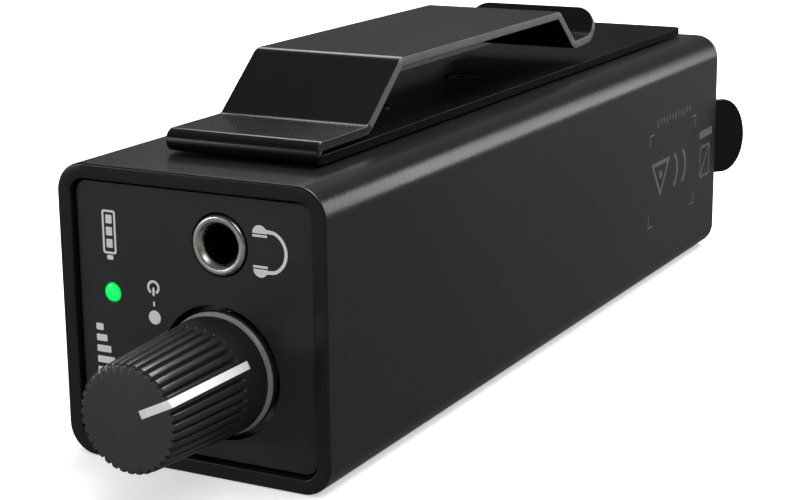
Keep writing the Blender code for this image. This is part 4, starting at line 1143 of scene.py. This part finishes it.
def dress_insides():
    """Finishes for everything inside the tube."""
    turned_lines, drawn_lines = (1, 0.05, 1), (1, 0.08, 1)
    zinc = metal("zinc_plate", 0.42, 0.60, 0.30, (1.0, 0.99, 0.95), drawn_lines)
    sheet = metal("pressed_steel", 0.33, 0.50, 0.34, (1.0, 1.0, 1.02), drawn_lines)
    tin = metal("tinned_strip", 0.50, 0.68, 0.28, (1.0, 0.98, 0.93), (1, 1, 0.1), tarnish=0.35)
    brass = metal("turned_brass", 0.42, 0.62, 0.30, (1.0, 0.76, 0.40), turned_lines)
    aluminium = metal("turned_aluminium", 0.55, 0.72, 0.30, (1.0, 1.0, 1.01), turned_lines)
    black = coated("moulded_black", 0.012, 0.018, 0.5, grain=0.2, depth=4.0, cloud=5.0)
    tray = coated("moulded_tray", 0.014, 0.021, 0.55, grain=0.25, depth=6.0, cloud=8.0)
    nylon = coated("natural_nylon", 0.55, 0.66, 0.45, grain=0.4, depth=3.0, cloud=2.0,
                   tint=(1.0, 0.97, 0.86))
    lever = coated("lever_white", 0.62, 0.72, 0.45, grain=0.15, depth=3.0, cloud=1.2,
                   tint=(1.0, 1.0, 0.97))
    epoxy = coated("chip_epoxy", 0.014, 0.022, 0.55, grain=0.08, depth=3.0, cloud=1.5)
    sleeve = coated("capacitor_sleeve", 0.02, 0.03, 0.35, grain=0.5, depth=2.0, cloud=2.0,
                    tint=(0.8, 0.9, 1.8))
    ferrite = coated("choke_ferrite", 0.035, 0.055, 0.62, grain=0.12, depth=9.0, cloud=1.0,
                     tint=(1.05, 1.0, 0.95))
    lamp = coated("lamp_epoxy", 0.34, 0.42, 0.2, grain=0.6, depth=1.0, cloud=1.0,
                  tint=(0.75, 1.5, 0.9))
    front_board = circuit_board("front_board_mask", "Y", "Z")
    main_board = circuit_board("main_board_mask", "Y", "Z")
    finishes = (
        (zinc, ("front_bracket", "clip_nut_1", "clip_nut_2", "pot_nut", "pot_washer")),
        (sheet, ("pot_body", "latch_pin")),
        (tin, ("jack_contact_sleeve", "jack_contact_ring", "jack_contact_tip",
               "plug_contact_tip", "plug_contact_ring", "plug_contact_sleeve",
               "contact_bridge", "contact_plate_positive", "contact_plate_negative")),
        (brass, ("pot_bushing",)),
        (aluminium, ("pot_shaft",)),
        (black, ("pot_switch", "jack_body", "led_holder", "board_link", "mode_switch_body",
                 "socket_back")),
        (tray, ("battery_tray",)),
        (nylon, ("switch_cam",)),
        (lever, ("mode_switch_lever",)),
        (epoxy, ("amp_chip", "regulator_chip")),
        (sleeve, ("capacitor_1", "capacitor_2", "capacitor_3")),
        (ferrite, ("choke",)),
        (lamp, ("led_body",)),
        (front_board, ("front_board",)),
        (main_board, ("main_board",)),
    )
    for material, nodes in finishes:
        for node in nodes:
            dress_node(node, material)


# ---------------------------------------------------------------- stage, light, camera

def build_stage():
    """The tabletop. Reflections and bounced light see the world in its place."""
    outline = rounded_rect(*around((0, 0), FLOOR_WIDTH, FLOOR_WIDTH), FLOOR_CORNER)
    floor = new_object("floor", prism(outline, "Z", FLOOR_BOTTOM, FLOOR_TOP))
    floor.data.materials.append(studio_floor())
    floor.visible_glossy = False
    floor.visible_diffuse = False


def build_world():
    """White surroundings, dimmer below the horizon. Glossy reflections see a darker room instead:
    black flags in front, grey behind, and a floor that brightens towards the horizon."""
    world = bpy.data.worlds.new("studio")
    bpy.context.scene.world = world
    world.use_nodes = True
    graph = Graph(world.node_tree)
    direction = graph.add("ShaderNodeSeparateXYZ")
    graph.feed(direction.inputs["Vector"], graph.add("ShaderNodeTexCoord").outputs["Generated"])
    depth, height = direction.outputs["Y"], direction.outputs["Z"]
    floor = graph.remap(height, *FLOOR_REFLECTION)
    room = graph.remap(depth, *ROOM_REFLECTION)
    above_floor = graph.remap(height, *HORIZON)
    reflected = graph.add("ShaderNodeMix", {0: above_floor, 2: floor, 3: room}).outputs[0]
    glossy = graph.add("ShaderNodeLightPath").outputs["Is Glossy Ray"]
    surroundings = graph.remap(height, *WORLD_LIGHT)
    light = graph.add("ShaderNodeMix", {0: glossy, 2: surroundings, 3: reflected}).outputs[0]
    graph.feed(graph.nodes["Background"].inputs["Color"], light)


def build_lights():
    """Softboxes that face the object and stay out of the picture."""
    for name, direction, distance, width, height, radiance in SOFTBOXES:
        light = bpy.data.lights.new(name, "AREA")
        light.shape = "RECTANGLE"
        light.size, light.size_y = width, height
        light.energy = radiance * math.pi * width * height
        lamp = bpy.data.objects.new(name, light)
        bpy.context.scene.collection.objects.link(lamp)
        way = Vector(direction).normalized()
        lamp.location = LIGHT_AIM + way * distance
        lamp.rotation_euler = way.to_track_quat("Z", "Y").to_euler()
        lamp.visible_camera = False


def build_camera():
    """Camera in the place that the photo was taken from."""
    data = bpy.data.cameras.new("camera")
    data.lens = VIEW_LENS
    data.clip_start = 0.01
    camera = bpy.data.objects.new("camera", data)
    bpy.context.scene.collection.objects.link(camera)
    flat = math.cos(VIEW_ELEVATION)
    back = Vector((math.sin(VIEW_AZIMUTH) * flat, -math.cos(VIEW_AZIMUTH) * flat,
                   math.sin(VIEW_ELEVATION)))
    camera.location = VIEW_AIM + back * VIEW_DISTANCE
    track = back.to_track_quat("Z", "Y").to_matrix()
    camera.rotation_euler = (track @ Matrix.Rotation(-VIEW_ROLL, 3, "Z")).to_euler()
    bpy.context.scene.camera = camera
    bpy.context.scene.view_settings.view_transform = "Standard"


# ---------------------------------------------------------------- assembly

def build():
    """Makes the outer finishes, then every piece, the insides, the stage and the light."""
    paint = coated("housing_powder_coat", 0.0065, 0.0095, 0.25, grain=0.34, depth=16.0, cloud=11.0,
                   painted_edge_highlight=0.35)
    panel = coated("front_panel_satin", 0.017, 0.024, 0.36, grain=0.22, depth=2.5, cloud=9.0)
    # Near-black matt for the walls of the knob hole and of the socket's bore: painted shade.
    bore = coated("hole_wall_painted_shade", 0.002, 0.003, 0.7, grain=0.2, depth=2.0, specular=0.1)
    rear = coated("rear_panel_satin", 0.012, 0.017, 0.40, grain=0.22, depth=3.0, cloud=9.0)
    knob = coated("knob_satin", 0.015, 0.021, 0.32, grain=0.14, depth=2.0, cloud=5.0)
    knob_cap = coated("knob_cap_matt", 0.039, 0.049, 0.27, grain=0.12, depth=2.5, cloud=6.0)
    white = coated("pointer_inlay", 0.90, 0.96, 0.35, grain=0.2, depth=1.5, cloud=1.5,
                   tint=(1.0, 1.0, 0.99))
    gloss = coated("collar_gloss", 0.02, 0.03, 0.16, grain=0.5, depth=0.6, cloud=3.0,
                   specular=1.0)
    # Painted highlight: light grey finish for the collar's rounded front edge.
    collar_edge_highlight = coated("collar_edge_painted_highlight", 0.20, 0.26, 0.3, grain=0.3, depth=0.6, cloud=3.0)
    nickel = metal("socket_nickel", 0.82, 0.90, 0.22, (1.0, 0.965, 0.92), (1, 0.05, 1), 0.1, 0.1)
    steel = coated("clip_black_steel", 0.0035, 0.0055, 0.24, grain=0.2, depth=2.0, cloud=7.0,
                   painted_edge_highlight=0.5)
    # Darker copy of the clip's black finish for its plate: painted shade under the leaf.
    plate = coated("clip_plate_painted_shade", 0.0025, 0.0045, 0.5, grain=0.2, depth=3.0, cloud=7.0,
                   painted_edge_highlight=0.2, specular=0.03)
    edge = metal("clip_cut_edge", 0.24, 0.28, 0.42, (1.0, 1.0, 1.0), (1, 0.06, 1), 1.0, 0.15)
    bolt = metal("bolt_black_oxide", 0.02, 0.04, 0.42, (1.0, 1.0, 1.03), (1, 1, 0.2), 1.5, 0.3)
    shell = coated("socket_shell_satin", 0.013, 0.019, 0.4, grain=0.2, depth=3.0, cloud=5.0)
    core = coated("socket_core_matt", 0.015, 0.022, 0.48, grain=0.15, depth=3.0, cloud=4.0)
    brass = metal("pin_brass", 0.46, 0.68, 0.26, (1.0, 0.80, 0.46), (1, 0.05, 1), 1.0, 0.3)
    latch = coated("latch_satin", 0.003, 0.005, 0.32, grain=0.2, depth=2.5, cloud=5.0,
                   specular=0.35)
    cover = coated("cover_matt", 0.013, 0.019, 0.40, grain=0.26, depth=5.0, cloud=9.0, painted_edge_highlight=0.25)
    spring = metal("spring_wire", 0.45, 0.66, 0.24, (1.0, 0.98, 0.93), (1, 1, 1), 0.8, 0.2)

    build_housing(paint)
    build_front_plate(panel, bore)
    build_rear_plate(rear)
    build_printing(print_ink("ink_white", 0.88), print_ink("ink_grey", 0.12))
    build_knob_shell(knob, knob_cap)
    build_pointer(white)
    build_collar(gloss, collar_edge_highlight)
    build_phones_ring(nickel, bore)
    build_light(lit_lens())
    build_clip(steel, edge, plate)
    build_clip_screws(bolt)
    build_socket_collar(shell)
    for index in PIN_NUMBERS:
        build_pin_sleeve(index, brass)
    build_socket_core(core)
    build_latch(latch)
    build_battery_cover(cover, print_ink("ink_cover", 0.16))
    build_cells()
    build_springs(spring)
    dress_insides()
    build_stage()
    build_world()
    build_lights()
    build_camera()


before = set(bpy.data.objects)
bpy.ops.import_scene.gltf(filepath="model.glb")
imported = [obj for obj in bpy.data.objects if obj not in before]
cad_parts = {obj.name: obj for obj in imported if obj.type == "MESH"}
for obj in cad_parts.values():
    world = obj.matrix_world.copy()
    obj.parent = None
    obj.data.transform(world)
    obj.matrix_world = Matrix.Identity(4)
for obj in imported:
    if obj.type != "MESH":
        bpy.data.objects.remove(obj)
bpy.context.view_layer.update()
build()
